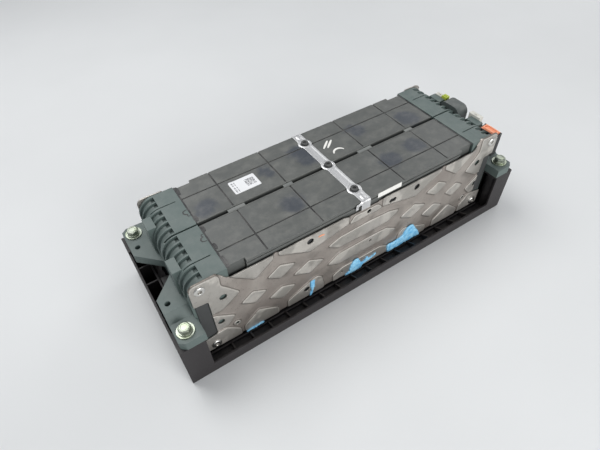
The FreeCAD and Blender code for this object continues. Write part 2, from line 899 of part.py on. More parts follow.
def busbars_back():
    """Bars that join cells 1-2, 3-4 and so on along the back."""
    return group([busbar(index, index + 1, 1) for index in range(0, cell_count - 1, 2)])


def busbars_front():
    """Bars that join cells 2-3, 4-5 and so on along the front."""
    return group([busbar(index, index + 1, -1) for index in range(1, cell_count - 2, 2)])


def terminal_bar_positive():
    """Copper bar from the last cell's front terminal out to the right-hand terminal housing."""
    x = cell_x(cell_count - 1)
    half = tab_width / 2.0
    low = housing_middle - half
    high = housing_middle + half
    x_turn = x + terminal_length / 2.0 - 2.0
    x_end = housing_outer - housing_wall - 1.0
    landing = block(x - terminal_length / 2.0 + 1, x + terminal_length / 2.0, -terminal_offset - half,
                    -terminal_offset + half, terminal_top, busbar_top)
    run = block(x_turn, x_end, low, high, terminal_top, busbar_top)
    bridge = block(x_turn, end_inner - 1, low, -terminal_offset + half, terminal_top, busbar_top)
    pad = block(housing_inner + housing_wall + slide_clearance, x_end, low, high,
                terminal_top - terminal_pad_low, busbar_top + terminal_pad_high)
    thread = rod(terminal_thread, (terminal_stud_x(), housing_middle, terminal_top - terminal_pad_low - 1),
                 (0, 0, 1), 12)
    return carve(join([landing, run, bridge, pad]), [thread])


def terminal_stud_x():
    """Place along X of the threaded hole in the positive terminal."""
    return (housing_inner + housing_outer) / 2.0 - 1.0


def terminal_bar_negative():
    """Copper bar from the first cell's front terminal down to the housing on the left end."""
    x = -cell_x(0)
    half = tab_width / 2.0
    landing = block(x - terminal_length / 2.0 + 1, end_inner + 2, -terminal_offset - half + 1,
                    -terminal_offset + half - 1, terminal_top, busbar_top)
    return flip_x(join([landing] + negative_bar_shapes(0.0)))


def sense_flex():
    """Two flexible circuits that run beside the gas duct."""
    low = cell_top + carrier_thickness
    y_far = -duct_half_width - 3.0
    strip = block(-stack_half + 4, stack_half - 4, y_far - flex_width, y_far, low, low + flex_thickness)
    return group([strip, flip_y(strip)])


def thermistors():
    """Temperature sensors that sit on the bus bar frames beside the circuits."""
    beads = []
    for index in (1, 5, 9):
        x = cell_x(index) + cell_pitch / 2.0
        y = -duct_half_width - 4.0 - flex_width
        low = cell_top + carrier_thickness
        beads.append(block(x - 3, x + 3, y - thermistor_size, y, low, low + 3))
    return group(beads)


# ---- Covers and what lies between them ----
def cover_outline(inset):
    """Plan of the front cover, narrower at its ends; inset shrinks it for the hollow."""
    x_end = stack_half - inset
    x_step = stack_half - cover_end_step
    y_in = -cover_inner - inset
    y_out = -cover_outer + inset
    y_end = y_out + cover_end_inset
    return [(-x_end, y_in), (-x_end, y_end), (-x_step - inset, y_end), (-x_step, y_out), (x_step, y_out),
            (x_step + inset, y_end), (x_end, y_end), (x_end, y_in)]


def cover_front():
    """Long cover over the front bus bars, grooved along its panel lines."""
    shell = plan(cover_outline(0.0), cover_skirt, cover_top)
    hollow = plan(cover_outline(cover_wall), cover_skirt - 1, cover_top - cover_wall)
    room = block(-stack_half - 1, stack_half + 1, -duct_half_width - slide_clearance, 0,
                 cover_skirt - 1, duct_top + slide_clearance)
    reach = stack_half - cover_end_step
    rim = block(-reach, reach, -cover_rim, -cover_outer + 1, cover_top - cover_rim_height, cover_top)
    top = cover_top - cover_ledge_drop
    ledge = block(-reach, reach, -cover_rim + 0.6, -cover_outer + 1, top - cover_ledge_height, top)
    eye = rod(strap_hole_radius, (0, 0, cover_skirt - 1), (0, 0, 1), cover_top - cover_skirt + 2)
    depth = cover_top - cover_groove_depth
    half = cover_groove_width / 2.0
    grooves = [block(-stack_half - 1, stack_half + 1, -slit_offset - half, -slit_offset + half,
                     depth, cover_top + 1)]
    for x in (-cover_groove_far, -cover_groove_near, cover_groove_near, cover_groove_far):
        grooves.append(block(x - half, x + half, -cover_rim - 1, -cover_inner + 1, depth, cover_top + 1))
    return carve(join([shell.cut(hollow), rim, ledge]), [room, eye] + grooves)


def cover_back():
    """The same cover over the back bus bars."""
    return flip_y(cover_front())


def vent_duct():
    """Channel over the cell vents that leads gas to the right-hand end."""
    outer = block(-stack_half, stack_half, -duct_half_width, duct_half_width, cell_top, duct_top)
    inner = block(-stack_half + duct_wall, stack_half + 1, -duct_half_width + duct_wall,
                  duct_half_width - duct_wall, cell_top - 1, duct_top - duct_wall)
    return outer.cut(inner)


def cover_clips():
    """Tongues in the gap between the two covers, two long and two short."""
    half = cover_inner - slide_clearance
    places = [(clip_shift - cover_groove_far, clip_long), (cover_groove_near - clip_shift, clip_long),
              (-cover_groove_near, clip_short), (cover_groove_far + clip_shift, clip_short)]
    return group([block(x - length / 2.0, x + length / 2.0, -half, half, duct_top, cover_top - 0.6)
                  for x, length in places])


# ---- Strap, label and small trim ----
def centre_strap():
    """Aluminium strap across both covers, with three eyes and a bent end on each side plate."""
    half = strap_width / 2.0
    y_bend = plate_out + strap_thickness + plate_bead + 0.2
    low = cover_top
    top = cover_top + strap_thickness
    shapes = [block(-half, half, -y_bend, y_bend, low, top)]
    for side in (-1, 1):
        shapes.append(block(-half, half, side * (y_bend - strap_thickness), side * y_bend,
                            top - strap_drop, top))
    holes = []
    for step in (-1, 0, 1):
        y = step * strap_eye_pitch
        shapes.append(rod(strap_eye_radius, (0, y, low), (0, 0, 1), strap_thickness))
        holes.append(rod(strap_hole_radius, (0, y, low - 1), (0, 0, 1), strap_thickness + 2))
    return carve(join(shapes), holes)


def strap_studs():
    """Dark plugs that stand in the eyes of the strap."""
    radius = strap_hole_radius - stud_clearance
    plugs = []
    for step in (-1, 0, 1):
        y = step * strap_eye_pitch
        low = cover_top if step else duct_top
        plug = rod(radius, (0, y, low), (0, 0, 1), cover_top + stud_proud - low)
        dimple = rod(radius * 0.45, (0, y, cover_top + stud_proud / 2.0), (0, 0, 1), stud_proud)
        plugs.append(plug.cut(dimple))
    return group(plugs)


def label():
    """Printed label on the back cover."""
    x = -cover_groove_far + label_inset_x
    y = cover_inner + label_inset_y
    return block(x, x + label_length, y, y + label_width, cover_top, cover_top + label_thickness)


def tape_tab():
    """White tape on the rim of the front cover, beside the strap."""
    top = cover_top - 0.6
    return block(tape_start, tape_start + tape_length, -cover_rim - tape_thickness, -cover_rim,
                 top - tape_height, top)


def gap_filler():
    """Beads of cured thermal gap filler along the foot of the front side plate."""
    beads = []
    for x0, x1, height in filler_beads:
        beads.append(block(x0, x1, -plate_out - filler_thickness, -plate_out - plate_bead - 0.1,
                           ledge_height + filler_gap, ledge_height + height))
    return group(beads)


# ---- Terminal housing, cap, nozzle and connectors ----
def terminal_housing():
    """Dark frame round the positive terminal, open at the top, with the ears of the cap's hinge."""
    body = block(housing_inner, housing_outer, housing_near, housing_far, housing_bottom, housing_top)
    hollow = block(housing_inner + housing_wall, housing_outer - housing_wall, housing_near + housing_wall,
                   housing_far - housing_wall, housing_bottom + housing_wall, housing_top + 1)
    slot_half = tab_width / 2.0 + slide_clearance
    entry = block(housing_inner - 1, housing_inner + housing_wall + 1, housing_middle - slot_half,
                  housing_middle + slot_half, terminal_top - slide_clearance, busbar_top + slide_clearance)
    relief = block(housing_outer - 2 * hinge_barrel_radius - 1.2, housing_outer + 1,
                   housing_near + housing_wall, housing_far - housing_wall,
                   hinge_z - hinge_barrel_radius - 0.6, housing_top + 2)
    ears = []
    for y in (housing_near, housing_far - housing_wall):
        ears.append(rod(hinge_barrel_radius, (hinge_x, y, hinge_z), (0, 1, 0), housing_wall))
    pin_hole = rod(hinge_pin_radius, (hinge_x, housing_near - 1, hinge_z), (0, 1, 0), housing_width + 2)
    lap = block(housing_inner - 1, plate_reach + slide_clearance, housing_near - 1, -plate_in,
                housing_bottom - 1, housing_top + 2)
    return carve(join([body.cut([hollow, entry, relief])] + ears), [pin_hole, lap])


def cap_hinge_pin():
    """Steel pin of the cap's hinge."""
    return rod(hinge_pin_radius, (hinge_x, housing_near, hinge_z), (0, 1, 0), housing_width)


def terminal_cap():
    """Orange flip cap over the positive terminal."""
    y0 = housing_near + housing_wall + cap_gap
    y1 = housing_far - housing_wall - cap_gap
    top = hinge_z + 0.4
    plate = block(housing_inner + housing_wall + cap_gap, hinge_x, y0, y1, top - cap_thickness, top)
    barrel = rod(hinge_barrel_radius, (hinge_x, y0, hinge_z), (0, 1, 0), y1 - y0)
    bore = rod(hinge_pin_radius + hinge_running, (hinge_x, y0 - 1, hinge_z), (0, 1, 0), y1 - y0 + 2)
    grip = block(housing_inner + housing_wall + cap_gap, housing_inner + housing_wall + cap_gap + 1.4,
                 y0 + 6, y1 - 6, top, top + 0.8)
    return carve(join([plate, barrel, grip]), [bore])


def gas_outlet():
    """Round-topped hood in the right end plate with the outlet bore of the gas channel."""
    hood = block(end_outer - outlet_proud, end_outer + outlet_proud, outlet_near, outlet_far,
                 outlet_low, outlet_top)
    length = 2.0 * outlet_proud
    tops = []
    for edge in hood.Edges:
        run = edge.Vertexes[-1].Point - edge.Vertexes[0].Point
        if abs(abs(run.x) - length) < 1e-6 and edge.Vertexes[0].Z > outlet_top - 1:
            tops.append(edge)
    hood = hood.makeFillet(outlet_round, tops)
    bore = rod(outlet_bore, (end_outer - outlet_proud - 1, 0, outlet_bore_height), (1, 0, 0), length + 2)
    return hood.cut(bore)


def connector(y, length, width, height):
    """Small connector housing on the right end, with a hollow mouth that faces outwards."""
    x = end_outer + block_proud
    z = connector_low
    body = block(x, x + length, y - width / 2.0, y + width / 2.0, z, z + height)
    mouth = block(x + 2, x + length + 1, y - width / 2.0 + 1, y + width / 2.0 - 1, z + 1, z + height - 1)
    tongue = block(x + 1, x + length - 2, y - width / 2.0 + 2.5, y + width / 2.0 - 2.5,
                   z + height / 2.0 - 0.8, z + height / 2.0 + 0.8)
    latch = block(x + 2, x + length - 3, y - 2, y + 2, z + height - 0.1, z + height + 1.4)
    return join([body.cut(mouth), tongue, latch])


def sense_connector():
    """White cell-voltage connector on the right end plate, between outlet and terminal."""
    return connector((housing_far + outlet_near) / 2.0, 7.0, 18.0, 12.6)


def signal_connector():
    """Yellow-green connector beside the gas outlet."""
    return connector(outlet_far + connector_gap + signal_width / 2.0, 7.0, signal_width, 13.0)


def thermistor_connector():
    """White connector of the temperature sensors."""
    near = outlet_far + 2.0 * connector_gap + signal_width
    return connector(near + thermistor_width / 2.0, 6.0, thermistor_width, 10.6)


def negative_housing():
    """Closed black box over the negative terminal in the middle of the left end."""
    outer = block(-end_outer - negative_depth, -end_outer, -negative_width / 2.0, negative_width / 2.0,
                  negative_bottom, negative_top)
    inner = block(-end_outer - negative_depth + housing_wall, -end_outer + 1,
                  -negative_width / 2.0 + housing_wall, negative_width / 2.0 - housing_wall,
                  negative_bottom + housing_wall, negative_top - housing_wall)
    return outer.cut(inner)


# ---- Sub-parts, in the order that they would be assembled ----
PARTS = {
    "tray": tray,
    "post_inserts": post_inserts,
    "bottom_rail_front": bottom_rail_front,
    "bottom_rail_back": bottom_rail_back,
    "base_sheet": base_sheet_part,
    "cell_spacers": cell_spacers,
    "end_insulators": end_insulators,
    "terminal_seals": terminal_seals,
    "terminals_positive": terminals_positive,
    "terminals_negative": terminals_negative,
    "cell_vents": cell_vents,
    "end_plate_left": end_plate_left,
    "end_plate_right": end_plate_right,
    "plate_liner_front": plate_liner_front,
    "plate_liner_back": plate_liner_back,
    "side_plate_front": side_plate_front,
    "side_plate_back": side_plate_back,
    "side_screws_front": side_screws_front,
    "side_screws_back": side_screws_back,
    "busbar_carrier_front": busbar_carrier_front,
    "busbar_carrier_back": busbar_carrier_back,
    "busbars_front": busbars_front,
    "busbars_back": busbars_back,
    "terminal_bar_positive": terminal_bar_positive,
    "terminal_bar_negative": terminal_bar_negative,
    "sense_flex": sense_flex,
    "thermistors": thermistors,
    "vent_duct": vent_duct,
    "cover_front": cover_front,
    "cover_back": cover_back,
    "cover_clips": cover_clips,
    "centre_strap": centre_strap,
    "strap_studs": strap_studs,
    "label": label,
    "tape_tab": tape_tab,
    "gap_filler": gap_filler,
    "terminal_housing": terminal_housing,
    "terminal_cap": terminal_cap,
    "cap_hinge_pin": cap_hinge_pin,
    "gas_outlet": gas_outlet,
    "sense_connector": sense_connector,
    "signal_connector": signal_connector,
    "thermistor_connector": thermistor_connector,
    "negative_housing": negative_housing,
    "flange_bushes": flange_bushes,
    "mount_washers": mount_washers,
    "mount_bolts": mount_bolts,
}

os.makedirs("parts", exist_ok=True)
for name, make in PARTS.items():
    make().exportStep("parts/" + name + ".step")
for number in range(cell_count):
    cell(number).exportStep("parts/cell_%02d.step" % (number + 1))
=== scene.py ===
"""Looks of a battery module that is bolted into its tray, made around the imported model.

Pieces are worked out in millimetres, which MM turns into metres. Lengths in the finishes are metres.
The long axis is X, the front is -Y and Z is up.
"""
import json
import math

import bpy
import numpy as np
from mathutils import Matrix, Vector, noise


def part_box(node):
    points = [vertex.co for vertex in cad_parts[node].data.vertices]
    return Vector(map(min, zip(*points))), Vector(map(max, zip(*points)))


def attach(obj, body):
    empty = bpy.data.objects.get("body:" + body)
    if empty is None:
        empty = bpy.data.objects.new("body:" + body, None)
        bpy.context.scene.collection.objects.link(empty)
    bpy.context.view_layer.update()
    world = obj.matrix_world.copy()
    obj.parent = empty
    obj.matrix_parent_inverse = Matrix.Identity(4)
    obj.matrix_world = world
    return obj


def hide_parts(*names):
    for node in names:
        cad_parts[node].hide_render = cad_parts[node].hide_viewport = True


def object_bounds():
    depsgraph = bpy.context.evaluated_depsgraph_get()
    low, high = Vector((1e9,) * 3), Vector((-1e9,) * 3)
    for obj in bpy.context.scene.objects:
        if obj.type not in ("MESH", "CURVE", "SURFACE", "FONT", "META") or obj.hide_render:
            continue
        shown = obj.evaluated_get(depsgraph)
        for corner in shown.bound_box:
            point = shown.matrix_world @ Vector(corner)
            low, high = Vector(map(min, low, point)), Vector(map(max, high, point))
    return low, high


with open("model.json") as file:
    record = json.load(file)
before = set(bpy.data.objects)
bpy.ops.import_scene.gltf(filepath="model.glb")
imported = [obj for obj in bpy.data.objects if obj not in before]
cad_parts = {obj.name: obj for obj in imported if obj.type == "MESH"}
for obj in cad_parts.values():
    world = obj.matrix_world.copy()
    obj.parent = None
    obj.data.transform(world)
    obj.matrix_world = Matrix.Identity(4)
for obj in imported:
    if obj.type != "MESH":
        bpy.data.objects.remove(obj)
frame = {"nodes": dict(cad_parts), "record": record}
CAD_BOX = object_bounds()
MM = 0.001
MODULE = "module"


# ---- Shader maths ----
class Value:
    """One output of a node, which can be added, multiplied, divided and compared."""

    def __init__(self, net, socket):
        self.net = net
        self.socket = socket

    def maths(self, kind, first, second):
        return self.net.node("Math", {"operation": kind}, {0: first, 1: second})

    def __add__(self, other):
        return self.maths("ADD", self, other)

    def __radd__(self, other):
        return self.maths("ADD", other, self)

    def __sub__(self, other):
        return self.maths("SUBTRACT", self, other)

    def __rsub__(self, other):
        return self.maths("SUBTRACT", other, self)

    def __mul__(self, other):
        return self.maths("MULTIPLY", self, other)

    def __rmul__(self, other):
        return self.maths("MULTIPLY", other, self)

    def __truediv__(self, other):
        return self.maths("DIVIDE", self, other)

    def __rtruediv__(self, other):
        return self.maths("DIVIDE", other, self)

    def __gt__(self, other):
        return self.maths("GREATER_THAN", self, other)

    def __lt__(self, other):
        return self.maths("LESS_THAN", self, other)


class Net:
    """The nodes of one material, with a Principled shader at the end."""

    def __init__(self, name, index=1.5):
        self.material = bpy.data.materials.new(name)
        self.material.use_nodes = True
        self.tree = self.material.node_tree
        self.shader = self.tree.nodes["Principled BSDF"]
        self.shader.inputs["IOR"].default_value = index

    def feed(self, socket, value):
        """Links a value to a socket, or sets a number or colour on it."""
        if isinstance(value, Value):
            self.tree.links.new(value.socket, socket)
        else:
            socket.default_value = value

    def node(self, kind, settings=None, sockets=None, out=0):
        """A new node: its settings come first, then its sockets, and one output is returned."""
        made = self.tree.nodes.new("ShaderNode" + kind)
        for key, value in (settings or {}).items():
            setattr(made, key, value)
        for key, value in (sockets or {}).items():
            self.feed(made.inputs[key], value)
        return Value(self, made.outputs[out])

    def place(self, scale=(1.0, 1.0, 1.0), turn=(0.0, 0.0, 0.0)):
        """Position on the object, stretched and turned."""
        at = self.node("TexCoord", out="Object")
        return self.node("Mapping", {}, {"Vector": at, "Scale": scale, "Rotation": turn})

    def noise(self, scale, detail=3.0, rough=0.5, at=None, twist=0.0):
        """Cloud values from 0 to 1, with features about 1 / scale of a metre across."""
        at = at or self.place()
        return self.node("TexNoise", {}, {"Vector": at, "Scale": scale, "Detail": detail,
                                          "Roughness": rough, "Distortion": twist})

    def step(self, value, low, high):
        """A soft step from 0 at low to 1 at high."""
        return self.node("MapRange", {"interpolation_type": "SMOOTHSTEP"},
                         {"Value": value, "From Min": low, "From Max": high})

    def mix(self, mask, first, second):
        """Colour that goes from the first to the second as the mask grows."""
        return self.node("Mix", {"data_type": "RGBA"}, {0: mask, 6: first, 7: second}, out=2)

    def rounded(self, radius=0.0007):
        """Normal that turns smoothly over sharp edges."""
        return self.node("Bevel", {"samples": 4}, {"Radius": radius}, out="Normal")

    def edges(self, radius=0.0011):
        """1 along edges and 0 on flat faces."""
        sockets = {0: self.rounded(radius), 1: self.node("NewGeometry", out="Normal")}
        along = self.node("VectorMath", {"operation": "DOT_PRODUCT"}, sockets, out="Value")
        return self.step(along, 0.99, 0.85)

    def upward(self, low=0.3, high=0.95):
        """1 on faces that look up, where dust settles."""
        normal = self.node("NewGeometry", out="Normal")
        return self.step(self.node("SeparateXYZ", {}, {0: normal}, out="Z"), low, high)

    def bump(self, *layers):
        """Normal made of layers, each a height from 0 to 1 and its depth in metres."""
        normal = self.rounded()
        for height, depth in layers:
            normal = self.node("Bump", {}, {"Height": height, "Distance": depth, "Normal": normal})
        self.feed(self.shader.inputs["Normal"], normal)

    def done(self, **outputs):
        """Links what varies to the shader, and returns the material."""
        for key, value in outputs.items():
            self.feed(self.shader.inputs[key.replace("_", " ").title()], value)
        return self.material


def rgb(red, green, blue):
    """An opaque colour."""
    return (red, green, blue, 1.0)


def shade(colour, by):
    """A colour made lighter or darker."""
    return tuple(min(1.0, channel * by) for channel in colour[:3]) + (1.0,)


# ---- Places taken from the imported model, in millimetres ----
def corners_mm(node):
    """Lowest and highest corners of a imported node, in millimetres."""
    return tuple(Vector(corner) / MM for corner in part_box(node))


COVER_TOP = corners_mm("cover_front")[1].z
END_TOP = corners_mm("end_plate_left")[1].z
EYE_PLACES = (-51.0, 0.0, 51.0)          # along Y, of the studs that hold the strap
ROWS = ((-1, "front"), (1, "back"))
ENDS = ((-1, "left"), (1, "right"))
FINE_MESH = 0.8                          # spacing of the grid on the strap and the filler
PAINT_FILM = 0.07                        # thickness of a stroke


# ---- Finishes ----
STAINS = [  # x, y and radius on the covers, in millimetres
    (-70.0, -32.0, 21.0), (-67.0, 32.0, 17.0), (-14.0, 44.0, 24.0), (-10.0, 22.0, 20.0), (70.0, 36.0, 19.0),
    (69.0, -33.0, 20.0), (-152.0, 18.0, 18.0), (142.0, 22.0, 24.0), (110.0, -30.0, 20.0),
]


def moulded(name, colour, rough=0.5, grain=0.00006, dust=0.25, spread=0.22, wear=0.35):
    """Moulded plastic: cloudy tone, fine texture, flow streaks, rubbed edges and settled dust."""
    net = Net(name, 1.46)
    cloud = net.noise(22.0, 4.0)
    streak = net.noise(60.0, 3.0, at=net.place((0.15, 1.0, 1.0)))
    speck = net.step(net.noise(900.0, 2.0), 0.62, 0.72)
    tone = net.mix(cloud, shade(colour, 1.0 - spread), shade(colour, 1.0 + spread))
    tone = net.mix(streak * 0.25, tone, shade(colour, 1.25))
    worn = net.edges() * net.step(net.noise(140.0), 0.35, 0.7) * wear
    tone = net.mix(worn, tone, shade(colour, 2.2))
    film = net.upward() * net.step(net.noise(45.0, 5.0, 0.65), 0.35, 0.75) * dust
    tone = net.mix(film + speck * film, tone, rgb(0.42, 0.41, 0.39))
    scratch = net.step(net.noise(420.0, 2.0, at=net.place((1.0, 0.06, 1.0), (0.0, 0.0, 0.6))), 0.66, 0.7)
    net.bump((net.noise(1500.0, 2.0), grain), (net.noise(90.0), grain * 2.0), (scratch, grain))
    return net.done(base_color=tone, roughness=rough + cloud * 0.16 - worn * 0.3 + film * 0.3)


def cover_finish():
    """Satin dark cover with hand smears, bluish stains from handling and faint scratches."""
    base = rgb(0.094, 0.099, 0.094)
    net = Net("cover_finish")
    at = net.place()
    cloud = net.noise(14.0, 5.0, 0.6, at, 0.6)
    wisp = net.noise(34.0, 5.0, 0.62, net.place((0.5, 1.0, 1.0), (0.0, 0.0, 0.5)), 1.2)
    tone = net.mix(cloud, shade(base, 0.78), shade(base, 1.26))
    tone = net.mix(net.step(wisp, 0.48, 0.72) * 0.4, tone, rgb(0.150, 0.152, 0.138))
    stains = 0.0
    for x, y, size in STAINS:
        away = net.node("VectorMath", {"operation": "DISTANCE"},
                        {0: at, 1: (x * MM, y * MM, COVER_TOP * MM)}, out="Value")
        stains = net.step(away + (wisp - 0.5) * 0.03, size * MM, size * MM * 0.25) + stains
    stain = net.step(stains, 0.0, 1.0)
    tone = net.mix(stain * 0.85, tone, rgb(0.045, 0.053, 0.068))
    dust = net.upward() * net.step(net.noise(60.0, 6.0, 0.7), 0.4, 0.8) * 0.22
    tone = net.mix(dust, tone, rgb(0.36, 0.35, 0.32))
    # Lighter along every edge: rubbed plastic and a painted highlight.
    rub = net.edges() * 0.35
    tone = net.mix(rub, tone, rgb(0.26, 0.26, 0.24))
    scratch = net.step(net.noise(300.0, 2.0, at=net.place((0.05, 1.0, 1.0), (0.0, 0.0, 0.35))), 0.68, 0.72)
    net.bump((net.noise(1300.0, 2.0), 0.00005), (net.noise(55.0), 0.00016), (scratch, 0.00003))
    return net.done(base_color=tone, roughness=0.40 + cloud * 0.14 + dust * 0.5 - stain * 0.06)


def metal(name, colour, rough=0.3, tint=None, brush=(0.04, 1.0, 1.0), spread=0.14, grime=0.25, depth=0.00003):
    """Bare metal: brushed lines, cloudy tarnish, grime and a painted highlight along the edges."""
    net = Net(name)
    line = net.noise(1400.0, 2.0, at=net.place(brush))
    cloud = net.noise(60.0, 4.0)
    tone = net.mix(cloud, shade(colour, 1.0 - spread), shade(colour, 1.0 + spread))
    if tint:
        tone = net.mix(net.step(net.noise(120.0, 3.0), 0.4, 0.7) * 0.6, tone, tint)
    dirt = net.step(net.noise(240.0, 5.0, 0.7), 0.58, 0.78) * grime
    tone = net.mix(dirt, tone, rgb(0.12, 0.11, 0.10))
    # Painted highlight: every edge is a lighter copy of the metal's colour.
    painted_edge_highlight = net.edges() * 0.4
    tone = net.mix(painted_edge_highlight, tone, shade(colour, 1.4))
    net.bump((line, depth), (net.noise(320.0), depth * 1.5))
    return net.done(base_color=tone, metallic=1.0 - dirt * 0.8, roughness=rough + line * 0.16 + dirt * 0.4)


def plate_finish():
    """Coated sheet: warm grey, browner in the sunken bands, with painted shade on the slopes round the raised
    zones, a painted highlight along their crests, and grime.
    """
    net = Net("plate_finish")
    relief = net.node("Attribute", {"attribute_name": "relief"}, out="Fac")
    cloud = net.noise(26.0, 5.0, 0.6)
    fine = net.noise(420.0, 3.0, 0.6)
    patch = net.step(net.noise(11.0, 4.0, 0.6, twist=0.8), 0.3, 0.7)
    flat = net.mix(patch, rgb(0.33, 0.315, 0.285), rgb(0.53, 0.505, 0.47))
    band = net.mix(patch, rgb(0.30, 0.265, 0.24), rgb(0.47, 0.43, 0.39))
    flat = net.mix(cloud * 0.5, flat, rgb(0.37, 0.35, 0.32))
    band = net.mix(cloud * 0.5, band, rgb(0.30, 0.26, 0.23))
    tone = net.mix(relief, band, flat)
    # Painted shade: the slopes round the raised zones are darkened.
    slope = net.step(relief, 0.03, 0.3) * (1.0 - net.step(relief, 0.45, 0.8))
    tone = net.mix(slope * 0.85, tone, rgb(0.12, 0.105, 0.09))
    # Painted highlight: a lighter line along the crests of the raised zones.
    crest_highlight = net.step(relief, 0.6, 0.85) * (1.0 - net.step(relief, 0.9, 1.0))
    tone = net.mix(crest_highlight * 0.75, tone, rgb(0.62, 0.59, 0.54))
    rub = net.step(net.noise(70.0, 4.0), 0.52, 0.72) * net.step(fine, 0.35, 0.7)
    tone = net.mix(rub * 0.3, tone, rgb(0.52, 0.50, 0.47))
    run = net.noise(70.0, 4.0, at=net.place((1.0, 1.0, 0.08)))
    tone = net.mix(net.step(run, 0.55, 0.75) * 0.25, tone, rgb(0.22, 0.19, 0.17))
    grime = net.step(net.noise(48.0, 6.0, 0.72, twist=0.6), 0.54, 0.70)
    tone = net.mix(grime * 0.45, tone, rgb(0.19, 0.175, 0.155))
    speck = net.step(net.noise(520.0, 2.0), 0.66, 0.74)
    tone = net.mix(speck * 0.6, tone, rgb(0.12, 0.11, 0.10))
    net.bump((fine, 0.00005), (net.noise(80.0), 0.00018))
    return net.done(base_color=tone, metallic=0.6 + rub * 0.2, roughness=0.33 + cloud * 0.16 - rub * 0.08)


def label_finish():
    """White label with a generic block of squares and two columns of plain bars."""
    low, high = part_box("label")
    net = Net("label_finish")
    at = net.place()
    parts = {axis: net.node("SeparateXYZ", {}, {0: at}, out=axis) for axis in "XY"}
    u = (parts["X"] - low.x) / (high.x - low.x)
    v = (parts["Y"] - low.y) / (high.y - low.y)

    squares_across, squares_up, rows = 44.0, 29.0, 60.0      # counts over the whole label

    def window(value, start, end):
        return (value > start) * (value < end)

    def whole(value):
        return net.node("Math", {"operation": "FLOOR"}, {0: value})

    cell = net.node("CombineXYZ", {}, {0: whole(u * squares_across), 1: whole(v * squares_up)})
    dots = net.node("TexWhiteNoise", {}, {"Vector": cell}) > 0.45
    squares = dots * window(u, 0.54, 0.90) * window(v, 0.24, 0.78)
    row = net.node("CombineXYZ", {}, {1: whole(v * rows)})
    bars = (net.node("TexWhiteNoise", {}, {"Vector": row}) > 0.5) * window(v, 0.1, 0.9)
    columns = bars * (window(u, 0.07, 0.13) + window(u, 0.17, 0.21))
    ink = net.step(squares + columns, 0.0, 1.0)
    paper = net.mix(net.noise(90.0, 3.0), rgb(0.74, 0.75, 0.76), rgb(0.86, 0.86, 0.87))
    net.bump((net.noise(1200.0, 2.0), 0.00002))
    return net.done(base_color=net.mix(ink * 0.8, paper, rgb(0.10, 0.10, 0.11)), roughness=0.42 + ink * 0.15)


def filler_finish():
    """Cured blue filler: lumpy, in two blues, with specks of dirt."""
    net = Net("filler_finish", 1.45)
    lump = net.noise(190.0, 4.0, 0.6)
    tone = net.mix(net.step(lump, 0.3, 0.7), rgb(0.12, 0.42, 0.72), rgb(0.36, 0.70, 0.92))
    dirt = net.step(net.noise(320.0, 4.0, 0.7), 0.66, 0.78)
    tone = net.mix(dirt * 0.5, tone, rgb(0.05, 0.08, 0.10))
    net.bump((lump, 0.0004), (net.noise(900.0, 2.0), 0.00008))
    return net.done(base_color=tone, roughness=0.4 + lump * 0.15)


FINISH = {
    "tray_plastic": moulded("tray_finish", rgb(0.024, 0.021, 0.022), 0.5, 0.00009, 0.06, 0.25, 0.4),
    "end_plate_plastic": moulded("end_plate_finish", rgb(0.10, 0.132, 0.124), 0.42, 0.00006, 0.12, 0.16, 0.3),
    "cover_plastic": cover_finish(),
    "hood_plastic": moulded("hood_finish", rgb(0.062, 0.074, 0.071), 0.42, 0.00006, 0.25),
    "dark_plastic": moulded("dark_finish", rgb(0.022, 0.022, 0.023), 0.45),
    "clip_plastic": moulded("clip_finish", rgb(0.17, 0.18, 0.172), 0.5),
    "seal_plastic": moulded("seal_finish", rgb(0.035, 0.036, 0.038), 0.5),
    "coated_plate": plate_finish(),
    "screw_zinc": metal("screw_finish", rgb(0.66, 0.65, 0.62), 0.26),
    "zinc_steel": metal("zinc_finish", rgb(0.40, 0.43, 0.37), 0.34, rgb(0.34, 0.40, 0.25)),
    "brass_insert": metal("brass_finish", rgb(0.70, 0.53, 0.27), 0.3),
    "strap_aluminium": metal("strap_finish", rgb(0.72, 0.72, 0.72), 0.40, None, (1.0, 0.04, 1.0), 0.12, 0.22),
    "cell_aluminium": metal("cell_finish", rgb(0.72, 0.73, 0.74), 0.38),
    "bar_aluminium": metal("bar_finish", rgb(0.68, 0.69, 0.70), 0.32),
    "copper": metal("copper_finish", rgb(0.78, 0.43, 0.30), 0.3, rgb(0.55, 0.30, 0.22)),
    "insulating_film": moulded("film_finish", rgb(0.38, 0.41, 0.43), 0.35),
    "flex_film": moulded("flex_finish", rgb(0.55, 0.28, 0.05), 0.3),
    "stud_rubber": moulded("stud_finish", rgb(0.045, 0.047, 0.047), 0.55),
    "label_paper": label_finish(),
    "white_tape": moulded("tape_finish", rgb(0.80, 0.79, 0.75), 0.6, 0.0001, 0.05, 0.08, 0.0),
    "gap_filler": filler_finish(),
    "cap_orange": moulded("cap_finish", rgb(0.90, 0.36, 0.20), 0.33, 0.00003, 0.25, 0.1, 0.25),
    "connector_white": moulded("white_finish", rgb(0.62, 0.61, 0.55), 0.35, 0.00003, 0.1, 0.06, 0.0),
    "connector_green": moulded("green_finish", rgb(0.42, 0.50, 0.06), 0.35, 0.00003, 0.1, 0.08, 0.0),
}
SLOTS = {part["node"]: part["material_slot"] for part in frame["record"]["subparts"]}


def dress_nodes():
    """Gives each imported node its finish."""
    for name, item in frame["nodes"].items():
        item.data.materials.clear()
        item.data.materials.append(FINISH[SLOTS[name]])


# ---- Mesh tools ----
def new_piece(name, vertices, faces, slot, replaces=(), body=MODULE):
    """A piece that rides on a body and takes a slot's finish."""
    mesh = bpy.data.meshes.new(name)
    mesh.from_pydata([tuple(v) for v in vertices], [], faces)
    mesh.update()
    item = bpy.data.objects.new(name, mesh)
    bpy.context.scene.collection.objects.link(item)
    mesh.materials.append(FINISH[slot])
    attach(item, body)
    if replaces:
        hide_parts(*replaces)
    return item


